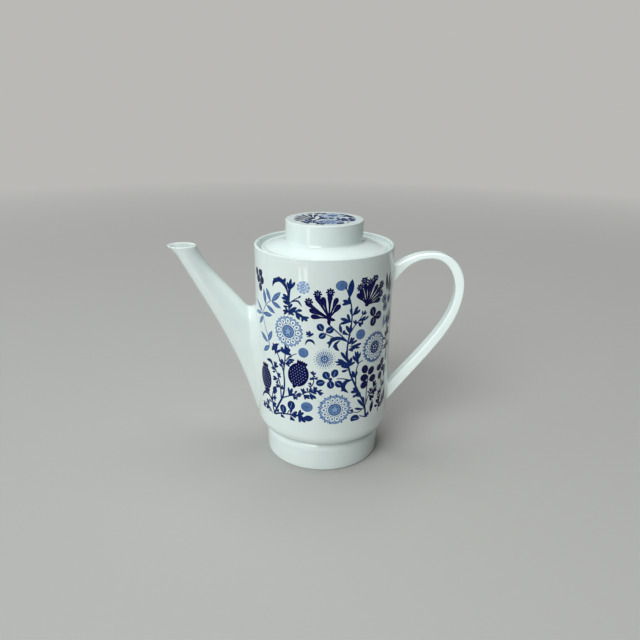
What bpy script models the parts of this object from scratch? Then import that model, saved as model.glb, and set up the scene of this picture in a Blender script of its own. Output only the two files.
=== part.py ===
"""Cylindrical porcelain coffee pot: pot, raking spout, ear handle and a lift-off lid with a drum knob.

World frame: metres, +Z up, the table at Z = 0.  The spout points along -X and the handle along +X.
The origin is the middle of the pot's footprint from spout tip to handle bow.  The spout reaches
further than the handle, so the turning axis of the pot stands a little towards +X.
"""

import math

import bmesh
import bpy
from mathutils import Vector
from mathutils.geometry import interpolate_bezier

MM = 0.001

# Driving dimensions
RIM_HEIGHT = 165.0 * MM
BODY_RADIUS = 50.75 * MM
WALL = 3.0 * MM
SHOULDER_HEIGHT = 33.0 * MM
FOOT_RADIUS = 44.0 * MM
FOOT_HEIGHT = 24.0 * MM
SPOUT_REACH = 114.5 * MM
HANDLE_REACH = 103.9 * MM
MOUTH_HEIGHT = 162.0 * MM
HANDLE_WIDTH = 10.0 * MM
LID_RADIUS = 45.5 * MM
KNOB_RADIUS = 28.15 * MM
KNOB_TOP = 182.1 * MM

# Clearance between neighbouring pieces
GAP = 0.3 * MM

# Mouth of the pot: lip, gallery and the ledge that carries the lid
LIP_WIDTH = 2.4 * MM
LIP_ROUND = 0.8 * MM
SEAT_HEIGHT = RIM_HEIGHT - 5.5 * MM
SEAT_OUTER = LID_RADIUS + 0.5 * MM
LEDGE_RADIUS = 42.6 * MM
LEDGE_DEPTH = 3.5 * MM
INNER_RADIUS = BODY_RADIUS - WALL

# Foot
FLOOR_TOP = 5.6 * MM
FLOOR_UNDERSIDE = 1.8 * MM
FOOT_WALL = 3.3 * MM
FOOT_RING_WIDTH = 4.0 * MM
FOOT_ROUND = 1.2 * MM

# Spout
SPOUT_WALL = 2.4 * MM
SPOUT_ROOT_HALF_WIDTH = 16.0 * MM
SPOUT_MOUTH_HALF_WIDTH = 9.4 * MM
SPOUT_SIDES = 28
SPOUT_STATIONS = 18

# Strainer holes in the wall behind the spout
HOLE_RADIUS = 2.5 * MM
HOLE_PITCH = 7.6 * MM
STRAINER_HEIGHT = 58.0 * MM

# Lid
LID_EDGE_TOP = RIM_HEIGHT - 1.9 * MM
LID_CROWN = RIM_HEIGHT + 2.0 * MM
LID_OPENING = 24.0 * MM
LID_THICKNESS = 3.3 * MM
FLANGE_RADIUS = 41.5 * MM
FLANGE_WALL = 2.8 * MM
FLANGE_DEPTH = 10.0 * MM
KNOB_WALL = 3.0 * MM
KNOB_ROUND = 0.7 * MM
LUG_WIDTH = 8.0 * MM
LUG_REACH = 2.6 * MM
LUG_HEIGHT = 3.2 * MM
LUG_TOP = SEAT_HEIGHT - LEDGE_DEPTH - 1.0 * MM
NOTCH_CLEARANCE = 1.0 * MM

TURN_STEPS = 64
AXIS_X = (SPOUT_REACH - HANDLE_REACH) / 2


# ---------------------------------------------------------------- scene and materials

def clear_scene():
    for obj in list(bpy.data.objects):
        bpy.data.objects.remove(obj, do_unlink=True)


def new_collection(name):
    collection = bpy.data.collections.new(name)
    bpy.context.scene.collection.children.link(collection)
    return collection


def porcelain(name, color, roughness):
    """Glazed hard porcelain; the pieces differ slightly in tone and gloss."""
    material = bpy.data.materials.new(name)
    material.use_nodes = True
    shader = material.node_tree.nodes["Principled BSDF"]
    shader.inputs["Base Color"].default_value = (*color, 1.0)
    shader.inputs["Roughness"].default_value = roughness
    shader.inputs["Metallic"].default_value = 0.0
    shader.inputs["Coat Weight"].default_value = 0.6
    return material


def place(obj, collection, axis_empty, material=None):
    """Links the object, hangs it on the pot's axis and gives it its material."""
    for owner in list(obj.users_collection):
        owner.objects.unlink(obj)
    collection.objects.link(obj)
    obj.parent = axis_empty
    if material:
        obj.data.materials.clear()
        obj.data.materials.append(material)
    return obj


def make_cutter(obj):
    obj.hide_render = True
    obj.display_type = "WIRE"
    return obj


# ---------------------------------------------------------------- modelling tools

def arc(center_r, center_z, radius_r, radius_z, start, end, steps):
    """Points (radius, height) along an elliptical arc, angles in degrees from the +radius direction."""
    points = []
    for i in range(steps + 1):
        angle = math.radians(start + (end - start) * i / steps)
        r = center_r + radius_r * math.cos(angle)
        z = center_z + radius_z * math.sin(angle)
        points.append((r, z))
    return points


def turned(name, profile, closed):
    """A body of revolution about Z from a profile of (radius, height) points."""
    mesh = bpy.data.meshes.new(name)
    edges = [(i, i + 1) for i in range(len(profile) - 1)]
    if closed:
        edges.append((len(profile) - 1, 0))
    mesh.from_pydata([(r, 0.0, z) for r, z in profile], edges, [])
    obj = bpy.data.objects.new(name, mesh)
    bpy.context.scene.collection.objects.link(obj)
    screw = obj.modifiers.new("turn", "SCREW")
    screw.axis = "Z"
    screw.angle = math.tau
    screw.steps = TURN_STEPS
    screw.render_steps = TURN_STEPS
    screw.use_merge_vertices = True
    screw.merge_threshold = 0.01 * MM
    screw.use_smooth_shade = True
    return obj


def smooth(obj, angle=40.0):
    """Smooth shading that keeps edges sharper than the angle crisp."""
    obj.data.shade_smooth()
    obj.data.set_sharp_from_angle(angle=math.radians(angle))


def baked(obj):
    """Replaces an object by a plain mesh object of its evaluated shape, with its seams welded."""
    depsgraph = bpy.context.evaluated_depsgraph_get()
    mesh = bpy.data.meshes.new_from_object(obj.evaluated_get(depsgraph))
    weld = bmesh.new()
    weld.from_mesh(mesh)
    bmesh.ops.remove_doubles(weld, verts=weld.verts, dist=0.01 * MM)
    weld.to_mesh(mesh)
    weld.free()
    name = obj.name
    solid = bpy.data.objects.new(name, mesh)
    solid.matrix_world = obj.matrix_world
    bpy.context.scene.collection.objects.link(solid)
    bpy.data.objects.remove(obj, do_unlink=True)
    solid.name = name
    return solid


def subtract(obj, cutter):
    cut = obj.modifiers.new("cut_" + cutter.name, "BOOLEAN")
    cut.operation = "DIFFERENCE"
    cut.solver = "EXACT"
    cut.object = cutter


def loft_tube(name, outer_rings, inner_rings):
    """A closed tube: the outer rings root to mouth, then the inner rings back to the root."""
    rings = outer_rings + inner_rings[::-1]
    sides = len(rings[0])
    bm = bmesh.new()
    loops = [[bm.verts.new(point) for point in ring] for ring in rings]
    for k, loop in enumerate(loops):
        following = loops[(k + 1) % len(loops)]
        for i in range(sides):
            j = (i + 1) % sides
            bm.faces.new((loop[i], loop[j], following[j], following[i]))
    bmesh.ops.recalc_face_normals(bm, faces=bm.faces)
    mesh = bpy.data.meshes.new(name)
    bm.to_mesh(mesh)
    bm.free()
    obj = bpy.data.objects.new(name, mesh)
    bpy.context.scene.collection.objects.link(obj)
    return obj


# ---------------------------------------------------------------- pot

def shoulder(offset, steps):
    """Quarter ellipse from the straight wall in to the foot, moved outwards by the offset."""
    drop = SHOULDER_HEIGHT - FOOT_HEIGHT
    step_in = BODY_RADIUS - FOOT_RADIUS
    return arc(FOOT_RADIUS, SHOULDER_HEIGHT, step_in + offset, drop + offset, 0, -90, steps)


def build_vessel_body():
    """Straight wall with a rounded shoulder, open below, with a lip, a coved gallery and a ledge."""
    lip_inner = BODY_RADIUS - LIP_WIDTH
    lip_z = RIM_HEIGHT - LIP_ROUND
    cove_height = lip_z - SEAT_HEIGHT
    ledge_foot = SEAT_HEIGHT - LEDGE_DEPTH
    inner_foot = FOOT_RADIUS - FOOT_WALL
    inner_shoulder = SHOULDER_HEIGHT + WALL
    profile = arc(BODY_RADIUS - LIP_ROUND, lip_z, LIP_ROUND, LIP_ROUND, 90, 0, 3)
    profile += shoulder(0.0, 7)
    profile += [(inner_foot, FOOT_HEIGHT)]
    profile += arc(inner_foot, inner_shoulder, INNER_RADIUS - inner_foot, 9.0 * MM, -90, 0, 4)
    profile += [(INNER_RADIUS, ledge_foot - 5.0 * MM)]
    profile += [(LEDGE_RADIUS, ledge_foot), (LEDGE_RADIUS, SEAT_HEIGHT)]
    profile += arc(SEAT_OUTER, lip_z, lip_inner - SEAT_OUTER, cove_height, -90, 0, 4)
    profile += arc(lip_inner + LIP_ROUND, lip_z, LIP_ROUND, LIP_ROUND, 180, 90, 2)[1:]
    return turned("vessel_body", profile, closed=True)


def build_foot():
    """Standing foot: a shallow cup that closes the pot, recessed below inside a contact ring."""
    bore = FOOT_RADIUS - FOOT_WALL
    corner = 4.0 * MM
    ring_outer = FOOT_RADIUS - FOOT_ROUND
    ring_inner = ring_outer - FOOT_RING_WIDTH
    top = FOOT_HEIGHT - GAP
    profile = [(0.0, FLOOR_TOP)]
    profile += arc(bore - corner, FLOOR_TOP + corner, corner, corner, -90, 0, 3)
    profile += [(bore, top), (FOOT_RADIUS, top)]
    profile += arc(ring_outer, FOOT_ROUND, FOOT_ROUND, FOOT_ROUND, 0, -90, 3)
    profile += [(ring_inner, 0.0), (ring_inner - FLOOR_UNDERSIDE, FLOOR_UNDERSIDE)]
    profile += [(0.0, FLOOR_UNDERSIDE)]
    return turned("foot", profile, closed=False)


def build_strainer_cutter():
    """Seven drills through the wall behind the spout: one in the middle and six round it."""
    centers = [(0.0, STRAINER_HEIGHT)]
    for k in range(6):
        angle = math.radians(60 * k + 30)
        centers.append((HOLE_PITCH * math.cos(angle), STRAINER_HEIGHT + HOLE_PITCH * math.sin(angle)))
    bm = bmesh.new()
    for y, z in centers:
        made = bmesh.ops.create_cone(
            bm, cap_ends=True, segments=12, radius1=HOLE_RADIUS, radius2=HOLE_RADIUS, depth=14.0 * MM)
        for vert in made["verts"]:
            x0, y0, z0 = vert.co
            vert.co = Vector((-BODY_RADIUS + 2.0 * MM + z0, y + y0, z - x0))
    mesh = bpy.data.meshes.new("strainer_drills")
    bm.to_mesh(mesh)
    bm.free()
    obj = bpy.data.objects.new("strainer_drills", mesh)
    bpy.context.scene.collection.objects.link(obj)
    return make_cutter(obj)


def build_notch_cutter():
    """Block that opens the ledge on the handle side, where the lid's lug passes."""
    inner = FLANGE_RADIUS - 1.0 * MM
    outer = FLANGE_RADIUS + LUG_REACH + NOTCH_CLEARANCE
    half_width = LUG_WIDTH / 2 + NOTCH_CLEARANCE
    low = SEAT_HEIGHT - LEDGE_DEPTH - 6.0 * MM
    high = SEAT_HEIGHT + 1.0 * MM
    bm = bmesh.new()
    bmesh.ops.create_cube(bm, size=1.0)
    bmesh.ops.scale(bm, verts=bm.verts, vec=(outer - inner, 2 * half_width, high - low))
    bmesh.ops.translate(bm, verts=bm.verts, vec=((outer + inner) / 2, 0.0, (high + low) / 2))
    mesh = bpy.data.meshes.new("ledge_notch")
    bm.to_mesh(mesh)
    bm.free()
    obj = bpy.data.objects.new("ledge_notch", mesh)
    bpy.context.scene.collection.objects.link(obj)
    return make_cutter(obj)


def build_envelope_cutter():
    """Solid of the pot's outside grown by the gap, which shapes the roots of spout and handle."""
    profile = [(0.0, RIM_HEIGHT), (BODY_RADIUS + GAP, RIM_HEIGHT)]
    profile += shoulder(GAP, 7)
    profile += [(FOOT_RADIUS + GAP, FOOT_HEIGHT - 2 * GAP), (FOOT_RADIUS + GAP, 0.0), (0.0, 0.0)]
    return make_cutter(turned("pot_envelope", profile, closed=False))


# ---------------------------------------------------------------- spout

def spout_edges():
    """Lower and upper edge of the spout in the plane of symmetry, root to mouth, as (reach, height)."""
    mouth = Vector((SPOUT_REACH, MOUTH_HEIGHT)) / MM
    root_turn = [Vector(p) for p in ((44.0, 24.8), (48.0, 24.8), (50.4, 25.9), (51.8, 29.6))]
    rake = [Vector(p) for p in ((51.8, 29.6), (63.6, 72.2), (68.5, 83.9), (106.0, 152.5))]
    pouring_lip = [Vector(p) for p in ((106.0, 152.5), (108.0, 156.2), (111.0, 159.4))] + [mouth]
    upper_edge = [Vector(p) for p in ((42.4, 98.5), (74.4, 137.0), (90.5, 148.6), (92.8, 162.0))]
    lower = interpolate_bezier(*root_turn, 4)
    lower += interpolate_bezier(*rake, SPOUT_STATIONS - 7)[1:]
    lower += interpolate_bezier(*pouring_lip, 5)[1:]
    upper = interpolate_bezier(*upper_edge, SPOUT_STATIONS)
    return [p * MM for p in lower], [p * MM for p in upper]


def spout_rings(inset):
    """Oval sections spanned between the two edges; the inset gives the channel inside the wall."""
    lower, upper = spout_edges()
    rings = []
    for k, (low, high) in enumerate(zip(lower, upper)):
        s = k / (SPOUT_STATIONS - 1)
        middle = (low + high) / 2
        half = (high - low) / 2
        half = half * (1.0 - inset / half.length)
        flare = (SPOUT_ROOT_HALF_WIDTH - SPOUT_MOUTH_HALF_WIDTH) * (1.0 - s) ** 2
        half_width = SPOUT_MOUTH_HALF_WIDTH + flare - inset
        ring = []
        for i in range(SPOUT_SIDES):
            angle = math.tau * i / SPOUT_SIDES
            in_plane = middle + half * math.cos(angle)
            ring.append((-in_plane.x, half_width * math.sin(angle), in_plane.y))
        rings.append(ring)
    return rings


def build_spout(envelope):
    """Raking tapered spout, broad at its root and cut level at its mouth."""
    obj = loft_tube("spout", spout_rings(0.0), spout_rings(SPOUT_WALL))
    smooth(obj)
    subtract(obj, envelope)
    return obj


# ---------------------------------------------------------------- handle

def handle_outline():
    """Knots of the ear in the plane of symmetry: (point, handle in, handle out) in millimetres."""
    bow = HANDLE_REACH / MM
    top = 158.6
    inner_bow = bow - 6.7
    inner_top = top - 4.4
    return [
        ((45.0, 145.1), (45.0, 141.0), (55.5, 151.6)),
        ((80.1, top), (63.7, top), (96.5, top)),
        ((bow, 132.3), (bow, 143.8), (bow, 99.4)),
        ((45.0, 31.0), (77.6, 78.1), (45.0, 34.0)),
        ((45.0, 43.5), (45.0, 40.0), (57.7, 66.6)),
        ((inner_bow, 129.0), (inner_bow, 99.9), (inner_bow, 140.7)),
        ((78.3, inner_top), (90.7, inner_top), (59.8, inner_top)),
        ((45.0, 128.5), (55.6, 139.3), (45.0, 133.0)),
    ]


def build_handle(envelope):
    """Ear-shaped strap handle with rounded edges, deeper at its lower root than at the top."""
    curve = bpy.data.curves.new("handle", "CURVE")
    curve.dimensions = "2D"
    curve.fill_mode = "BOTH"
    curve.extrude = HANDLE_WIDTH / 2
    curve.resolution_u = 11
    knots = handle_outline()
    spline = curve.splines.new("BEZIER")
    spline.bezier_points.add(len(knots) - 1)
    for point, (co, left, right) in zip(spline.bezier_points, knots):
        point.handle_left_type = "FREE"
        point.handle_right_type = "FREE"
        point.co = Vector((*co, 0.0)) * MM
        point.handle_left = Vector((*left, 0.0)) * MM
        point.handle_right = Vector((*right, 0.0)) * MM
    spline.use_cyclic_u = True
    obj = bpy.data.objects.new("handle", curve)
    obj.rotation_euler = (math.radians(90), 0.0, 0.0)
    bpy.context.scene.collection.objects.link(obj)
    obj = baked(obj)
    round_edges = obj.modifiers.new("round_edges", "BEVEL")
    round_edges.width = 1.8 * MM
    round_edges.segments = 3
    round_edges.limit_method = "ANGLE"
    round_edges.angle_limit = math.radians(60)
    smooth(obj)
    subtract(obj, envelope)
    return obj


# ---------------------------------------------------------------- lid

def build_lid_plate():
    """Lid disc: beaded edge, surface rising gently to the knob, open in the middle below the knob."""
    underside = SEAT_HEIGHT + GAP
    bead = 1.1 * MM
    groove_radius = LID_RADIUS - 3.0 * MM
    knob_seat = KNOB_RADIUS + 0.6 * MM
    flange_inner = FLANGE_RADIUS - FLANGE_WALL - 1.0 * MM
    profile = [(LID_OPENING, LID_CROWN), (knob_seat, LID_CROWN)]
    rise = LID_CROWN - (LID_EDGE_TOP - 0.3 * MM)
    for k in range(1, 5):
        s = k / 4
        r = knob_seat + (groove_radius - knob_seat) * s
        profile.append((r, LID_CROWN - rise * s ** 1.15))
    profile += arc(LID_RADIUS - bead, LID_EDGE_TOP - bead, bead, bead, 120, 0, 4)
    profile += [(LID_RADIUS, underside + 0.5 * MM), (LID_RADIUS - 0.5 * MM, underside)]
    profile += [(flange_inner, underside), (LID_OPENING, LID_CROWN - LID_THICKNESS)]
    return turned("lid_plate", profile, closed=True)


def build_lid_flange():
    """Collar below the lid that drops into the mouth of the pot and centres the lid."""
    top = SEAT_HEIGHT
    bottom = top - FLANGE_DEPTH
    inner = FLANGE_RADIUS - FLANGE_WALL
    middle = FLANGE_RADIUS - FLANGE_WALL / 2
    profile = [(inner, top), (FLANGE_RADIUS, top)]
    profile += arc(middle, bottom + FLANGE_WALL / 2, FLANGE_WALL / 2, FLANGE_WALL / 2, 0, -180, 6)
    return turned("lid_flange", profile, closed=True)


def build_lid_knob():
    """Wide hollow drum, closed on top and open below, that the lid is lifted by."""
    bottom = LID_CROWN + GAP
    inner = KNOB_RADIUS - KNOB_WALL
    ceiling = KNOB_TOP - KNOB_WALL
    inner_round = 2.0 * MM
    profile = [(0.0, KNOB_TOP)]
    profile += arc(KNOB_RADIUS - KNOB_ROUND, KNOB_TOP - KNOB_ROUND, KNOB_ROUND, KNOB_ROUND, 90, 0, 3)
    profile += [(KNOB_RADIUS, bottom), (inner, bottom)]
    profile += arc(inner - inner_round, ceiling - inner_round, inner_round, inner_round, 0, 90, 2)
    profile += [(0.0, ceiling)]
    return turned("lid_knob", profile, closed=False)


def build_lid_lug():
    """Small tab on the flange that hooks under the ledge once the lid is turned off the notch."""
    inner = FLANGE_RADIUS + GAP
    outer = FLANGE_RADIUS + LUG_REACH
    bm = bmesh.new()
    bmesh.ops.create_cube(bm, size=1.0)
    bmesh.ops.scale(bm, verts=bm.verts, vec=(outer - inner, LUG_WIDTH, LUG_HEIGHT))
    mesh = bpy.data.meshes.new("lid_lug")
    bm.to_mesh(mesh)
    bm.free()
    obj = bpy.data.objects.new("lid_lug", mesh)
    obj.location = ((outer + inner) / 2, 0.0, LUG_TOP - LUG_HEIGHT / 2)
    bpy.context.scene.collection.objects.link(obj)
    round_edges = obj.modifiers.new("round_edges", "BEVEL")
    round_edges.width = 0.7 * MM
    round_edges.segments = 2
    smooth(obj)
    return obj


# ---------------------------------------------------------------- assembly

def main():
    clear_scene()
    parts = new_collection("porcelain_coffee_pot")
    cutters = new_collection("cutters")

    pot_axis = bpy.data.objects.new("pot_axis", None)
    pot_axis.location = (AXIS_X, 0.0, 0.0)
    parts.objects.link(pot_axis)
    lid_axis = bpy.data.objects.new("lid_axis", None)
    lid_axis.parent = pot_axis
    parts.objects.link(lid_axis)

    envelope = build_envelope_cutter()
    drills = build_strainer_cutter()
    notch = build_notch_cutter()
    for cutter in (envelope, drills, notch):
        place(cutter, cutters, pot_axis)

    glaze = (0.80, 0.84, 0.81)
    vessel = place(build_vessel_body(), parts, pot_axis, porcelain("glazed_body", glaze, 0.09))
    subtract(vessel, drills)
    subtract(vessel, notch)
    place(build_foot(), parts, pot_axis, porcelain("glazed_foot", (0.79, 0.83, 0.80), 0.12))
    place(build_spout(envelope), parts, pot_axis, porcelain("glazed_spout", glaze, 0.10))
    place(build_handle(envelope), parts, pot_axis, porcelain("glazed_handle", glaze, 0.10))
    place(build_lid_plate(), parts, lid_axis, porcelain("glazed_lid", (0.81, 0.85, 0.82), 0.09))
    place(build_lid_flange(), parts, lid_axis, porcelain("bare_flange", (0.80, 0.80, 0.77), 0.35))
    place(build_lid_knob(), parts, lid_axis, porcelain("glazed_knob", (0.81, 0.85, 0.82), 0.09))
    place(build_lid_lug(), parts, lid_axis, porcelain("glazed_lug", (0.80, 0.82, 0.79), 0.20))


main()
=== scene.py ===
"""Porcelain coffee pot with a blue folk-flower print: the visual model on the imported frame.

Shapes are worked out in millimetres, measured from the pot's turning axis, with the front of the pot
towards -Y, the spout towards -X and the handle towards +X.  The print is laid out on the unrolled wall:
u is the distance round the wall from the front, positive towards the handle, and z is the height.
"""

import math

import bmesh
import bpy
import numpy as np
from mathutils import Matrix, Vector
from mathutils.geometry import delaunay_2d_cdt


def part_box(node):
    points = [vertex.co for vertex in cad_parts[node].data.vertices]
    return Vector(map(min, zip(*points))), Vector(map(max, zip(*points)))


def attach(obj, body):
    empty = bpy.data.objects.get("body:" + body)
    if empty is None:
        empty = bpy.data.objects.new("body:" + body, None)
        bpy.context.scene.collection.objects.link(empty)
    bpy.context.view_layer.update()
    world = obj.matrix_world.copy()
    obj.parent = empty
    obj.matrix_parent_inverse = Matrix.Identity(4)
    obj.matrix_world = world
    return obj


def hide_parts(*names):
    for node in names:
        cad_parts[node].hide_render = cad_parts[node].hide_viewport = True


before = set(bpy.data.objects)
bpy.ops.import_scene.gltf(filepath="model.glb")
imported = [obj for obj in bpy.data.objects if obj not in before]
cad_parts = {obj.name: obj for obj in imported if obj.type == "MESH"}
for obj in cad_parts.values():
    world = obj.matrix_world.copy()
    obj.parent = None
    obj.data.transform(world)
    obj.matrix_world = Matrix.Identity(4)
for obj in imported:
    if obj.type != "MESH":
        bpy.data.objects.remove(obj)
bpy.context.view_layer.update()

MM = 0.001
vessel_low, vessel_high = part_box("vessel_body")
foot_low, foot_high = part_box("foot")
spout_low, spout_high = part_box("spout")
handle_low, handle_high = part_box("handle")
plate_low, plate_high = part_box("lid_plate")
knob_low, knob_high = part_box("lid_knob")
flange_low, flange_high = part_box("lid_flange")
lug_low, lug_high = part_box("lid_lug")

AXIS_X = (vessel_low.x + vessel_high.x) / 2
R = (vessel_high.x - vessel_low.x) / 2 / MM
RIM = vessel_high.z / MM
FOOT_R = (foot_high.x - foot_low.x) / 2 / MM
FOOT_TOP = vessel_low.z / MM
SPOUT_TIP = (AXIS_X - spout_low.x) / MM
MOUTH = spout_high.z / MM
BOW = (handle_high.x - AXIS_X) / MM
STRAP = (handle_high.y - handle_low.y) / MM
LID_R = (plate_high.x - plate_low.x) / 2 / MM
LID_CROWN = plate_high.z / MM
KNOB_R = (knob_high.x - knob_low.x) / 2 / MM
KNOB_TOP = knob_high.z / MM
FLANGE_R = (flange_high.x - flange_low.x) / 2 / MM
FLANGE_LOW = flange_low.z / MM

COLUMNS = 192
WELD = 0.0015      # points closer than this are one
SUNK = 0.6         # how far the outer edge of a root lies below the wall's surface
WALL = 3.0
SHOULDER_TOP = FOOT_TOP + 9.0
LIP_ROUND = 0.95
LIP_WIDTH = 2.4
SEAT = RIM - 5.5
LEDGE_R = 42.6
BAND_LOW, BAND_HIGH = SHOULDER_TOP, RIM - LIP_ROUND
HALF_TURN = math.pi * R / 2

GLAZE, DARK, COBALT, STEEL, PALE = range(5)


# ---------------------------------------------------------------- materials

def feed(tree, socket, value):
    """Links another socket into this one, or sets its value."""
    if isinstance(value, bpy.types.NodeSocket):
        tree.links.new(value, socket)
    elif isinstance(value, tuple):
        socket.default_value = (*value, 1.0)[:4]
    else:
        socket.default_value = value


def node(tree, kind, **inputs):
    """A new shader node with its inputs fed by name, _ standing for a space."""
    made = tree.nodes.new("ShaderNode" + kind)
    for name, value in inputs.items():
        feed(tree, made.inputs[name.replace("_", " ")], value)
    return made


def mixed(tree, kind, factor, a, b):
    """A mix of two colours; factor, a and b may be sockets or values."""
    made = node(tree, "Mix")
    made.data_type, made.blend_type = "RGBA", kind
    for k, value in ((0, factor), (6, a), (7, b)):
        feed(tree, made.inputs[k], value)
    return made.outputs[2]


def times(tree, a, b):
    made = node(tree, "Math")
    made.operation = "MULTIPLY"
    feed(tree, made.inputs[0], a)
    feed(tree, made.inputs[1], b)
    return made.outputs[0]


def noise(tree, place, scale, detail=2.0, rough=0.5):
    return node(tree, "TexNoise", Vector=place, Scale=scale, Detail=detail, Roughness=rough).outputs["Fac"]


def ranged(tree, value, low, high, to_low, to_high):
    return node(tree, "MapRange", Value=value, From_Min=low, From_Max=high, To_Min=to_low,
                To_Max=to_high).outputs["Result"]


def new_material(name, **inputs):
    """A material, its node tree and its Principled shader."""
    material = bpy.data.materials.new(name)
    material.use_nodes = True
    tree = material.node_tree
    shader = tree.nodes["Principled BSDF"]
    for key, value in inputs.items():
        feed(tree, shader.inputs[key.replace("_", " ")], value)
    return material, tree, shader


def ceramic(name, thin, thick, roughness=0.07, gloss=0.5, grain=0.0, patch=90.0, specks=True):
    """Fired porcelain: tone drifts between a thin and a thick colour, the glaze is slightly wavy, and
    grain adds the tooth of a bare surface."""
    material, tree, shader = new_material(name, IOR=1.5, Specular_IOR_Level=gloss)
    place = node(tree, "TexCoord").outputs["Object"]
    drift = ranged(tree, noise(tree, place, patch, 3.0, 0.55), 0.3, 0.7, 0.0, 1.0)
    fine = ranged(tree, noise(tree, place, 1500.0, 2.0, 0.6), 0.3, 0.7, 0.0, 1.0)
    tone = mixed(tree, "MULTIPLY", 1.0, mixed(tree, "MIX", drift, thin, thick),
                 mixed(tree, "MIX", fine, (0.985, 0.985, 0.985), (1.0, 1.0, 1.0)))
    if specks:
        cells = node(tree, "TexVoronoi", Vector=place, Scale=110.0)
        dot = ranged(tree, cells.outputs["Distance"], 0.022, 0.03, 0.5, 0.0)
        pick = ranged(tree, noise(tree, place, 37.0), 0.60, 0.62, 0.0, 1.0)
        tone = mixed(tree, "MIX", times(tree, dot, pick), tone, (0.30, 0.26, 0.22))
    feed(tree, shader.inputs["Base Color"], tone)
    feed(tree, shader.inputs["Roughness"],
         ranged(tree, noise(tree, place, 260.0), 0.25, 0.75, roughness * 0.75, roughness * 1.3))
    bump = node(tree, "Bump", Strength=0.05, Distance=0.004, Height=noise(tree, place, 55.0, 2.0, 0.45))
    if grain:
        tooth = noise(tree, place, 4000.0, 4.0, 0.7)
        bump = node(tree, "Bump", Strength=grain, Distance=0.0004, Height=tooth, Normal=bump.outputs["Normal"])
    feed(tree, shader.inputs["Normal"], bump.outputs["Normal"])
    return material


glaze = ceramic("glaze_white", (0.775, 0.848, 0.825), (0.748, 0.828, 0.808))
thin_glaze = ceramic("glaze_thin", (0.80, 0.80, 0.77), (0.74, 0.73, 0.69), roughness=0.3, grain=0.12)
bisque = ceramic("bare_bisque", (0.62, 0.60, 0.55), (0.50, 0.47, 0.42), roughness=0.6, gloss=0.3, grain=0.5)
inks = [glaze] + [ceramic(name, thin, thick, gloss=gloss, patch=patch, specks=False)
                  for name, thin, thick, gloss, patch in (
    ("ink_midnight", (0.004, 0.003, 0.082), (0.002, 0.001, 0.044), 0.1, 420.0),
    ("ink_cobalt", (0.004, 0.030, 0.165), (0.002, 0.012, 0.095), 0.14, 330.0),
    ("ink_steel", (0.085, 0.180, 0.400), (0.050, 0.120, 0.310), 0.3, 380.0),
    ("ink_pale", (0.290, 0.430, 0.640), (0.205, 0.335, 0.560), 0.4, 380.0))]


# ---------------------------------------------------------------- pieces

def link(name, data):
    """A new object in the scene."""
    obj = bpy.data.objects.new(name, data)
    bpy.context.scene.collection.objects.link(obj)
    return obj


def read(items, name, width=1, kind=float):
    """One property of all the items of a mesh, as an array."""
    values = np.empty(len(items) * width, dtype=kind)
    items.foreach_get(name, values)
    return values.reshape(-1, width) if width > 1 else values


class Skin:
    """Collects points in millimetres from the pot's axis, with faces and their material numbers."""

    def __init__(self):
        self.points, self.faces, self.kinds = [], [], []

    def add(self, points, faces, kinds):
        start = len(self.points)
        self.points.extend(map(tuple, points))
        self.faces.extend(tuple(start + i for i in face) for face in faces)
        self.kinds.extend(kinds)

    def loft(self, rings, kinds=None, wrap=False):
        """Quads between rings of shape (rings, sides, 3); kinds gives a number for each strip."""
        count, sides = rings.shape[:2]
        strips = count if wrap else count - 1
        faces, made = [], []
        for k in range(strips):
            a, b = k * sides, (k + 1) % count * sides
            for i in range(sides):
                j = (i + 1) % sides
                faces.append((a + i, a + j, b + j, b + i))
                made.append(kinds[k] if kinds else GLAZE)
        self.add(rings.reshape(-1, 3), faces, made)

    def solid(self, name, materials):
        """The welded mesh object, in metres in the row frame, with its faces turned outwards."""
        mesh = bpy.data.meshes.new(name)
        for material in materials:
            mesh.materials.append(material)
        points = np.array(self.points) * MM
        points[:, 0] += AXIS_X
        mesh.from_pydata(points.tolist(), [], self.faces)
        mesh.polygons.foreach_set("material_index", self.kinds)
        bm = bmesh.new()
        bm.from_mesh(mesh)
        bmesh.ops.remove_doubles(bm, verts=bm.verts, dist=WELD * MM)
        bmesh.ops.recalc_face_normals(bm, faces=bm.faces)
        bm.to_mesh(mesh)
        bm.free()
        return link(name, mesh)


def finish_piece(obj, body, node_name, true_normals=None, crease=0.55):
    """Gives a piece its shading and body, and hides the CAD node it stands for.  Corners whose face leans away
    from the smooth normal by more than the crease (a cosine) stay sharp."""
    mesh = obj.data
    mesh.shade_smooth()
    normals = read(mesh.vertices, "normal", 3)
    if true_normals:
        known, exact = true_normals((read(mesh.vertices, "co", 3) - (AXIS_X, 0.0, 0.0)) / MM)
        normals[known] = exact[known]
    faces = np.repeat(read(mesh.polygons, "normal", 3), read(mesh.polygons, "loop_total", kind=int), axis=0)
    corners = normals[read(mesh.loops, "vertex_index", kind=int)]
    turned_away = (corners * faces).sum(1) < crease
    corners[turned_away] = faces[turned_away]
    mesh.normals_split_custom_set(corners.tolist())
    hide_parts(node_name)
    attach(obj, body)


def arc(center, radii, start, end, steps):
    """Points (radius, height) along an ellipse, angles in degrees from the +radius direction."""
    t = np.radians(np.linspace(start, end, steps + 1))
    return [(center[0] + radii[0] * math.cos(a), center[1] + radii[1] * math.sin(a)) for a in t]


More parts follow.
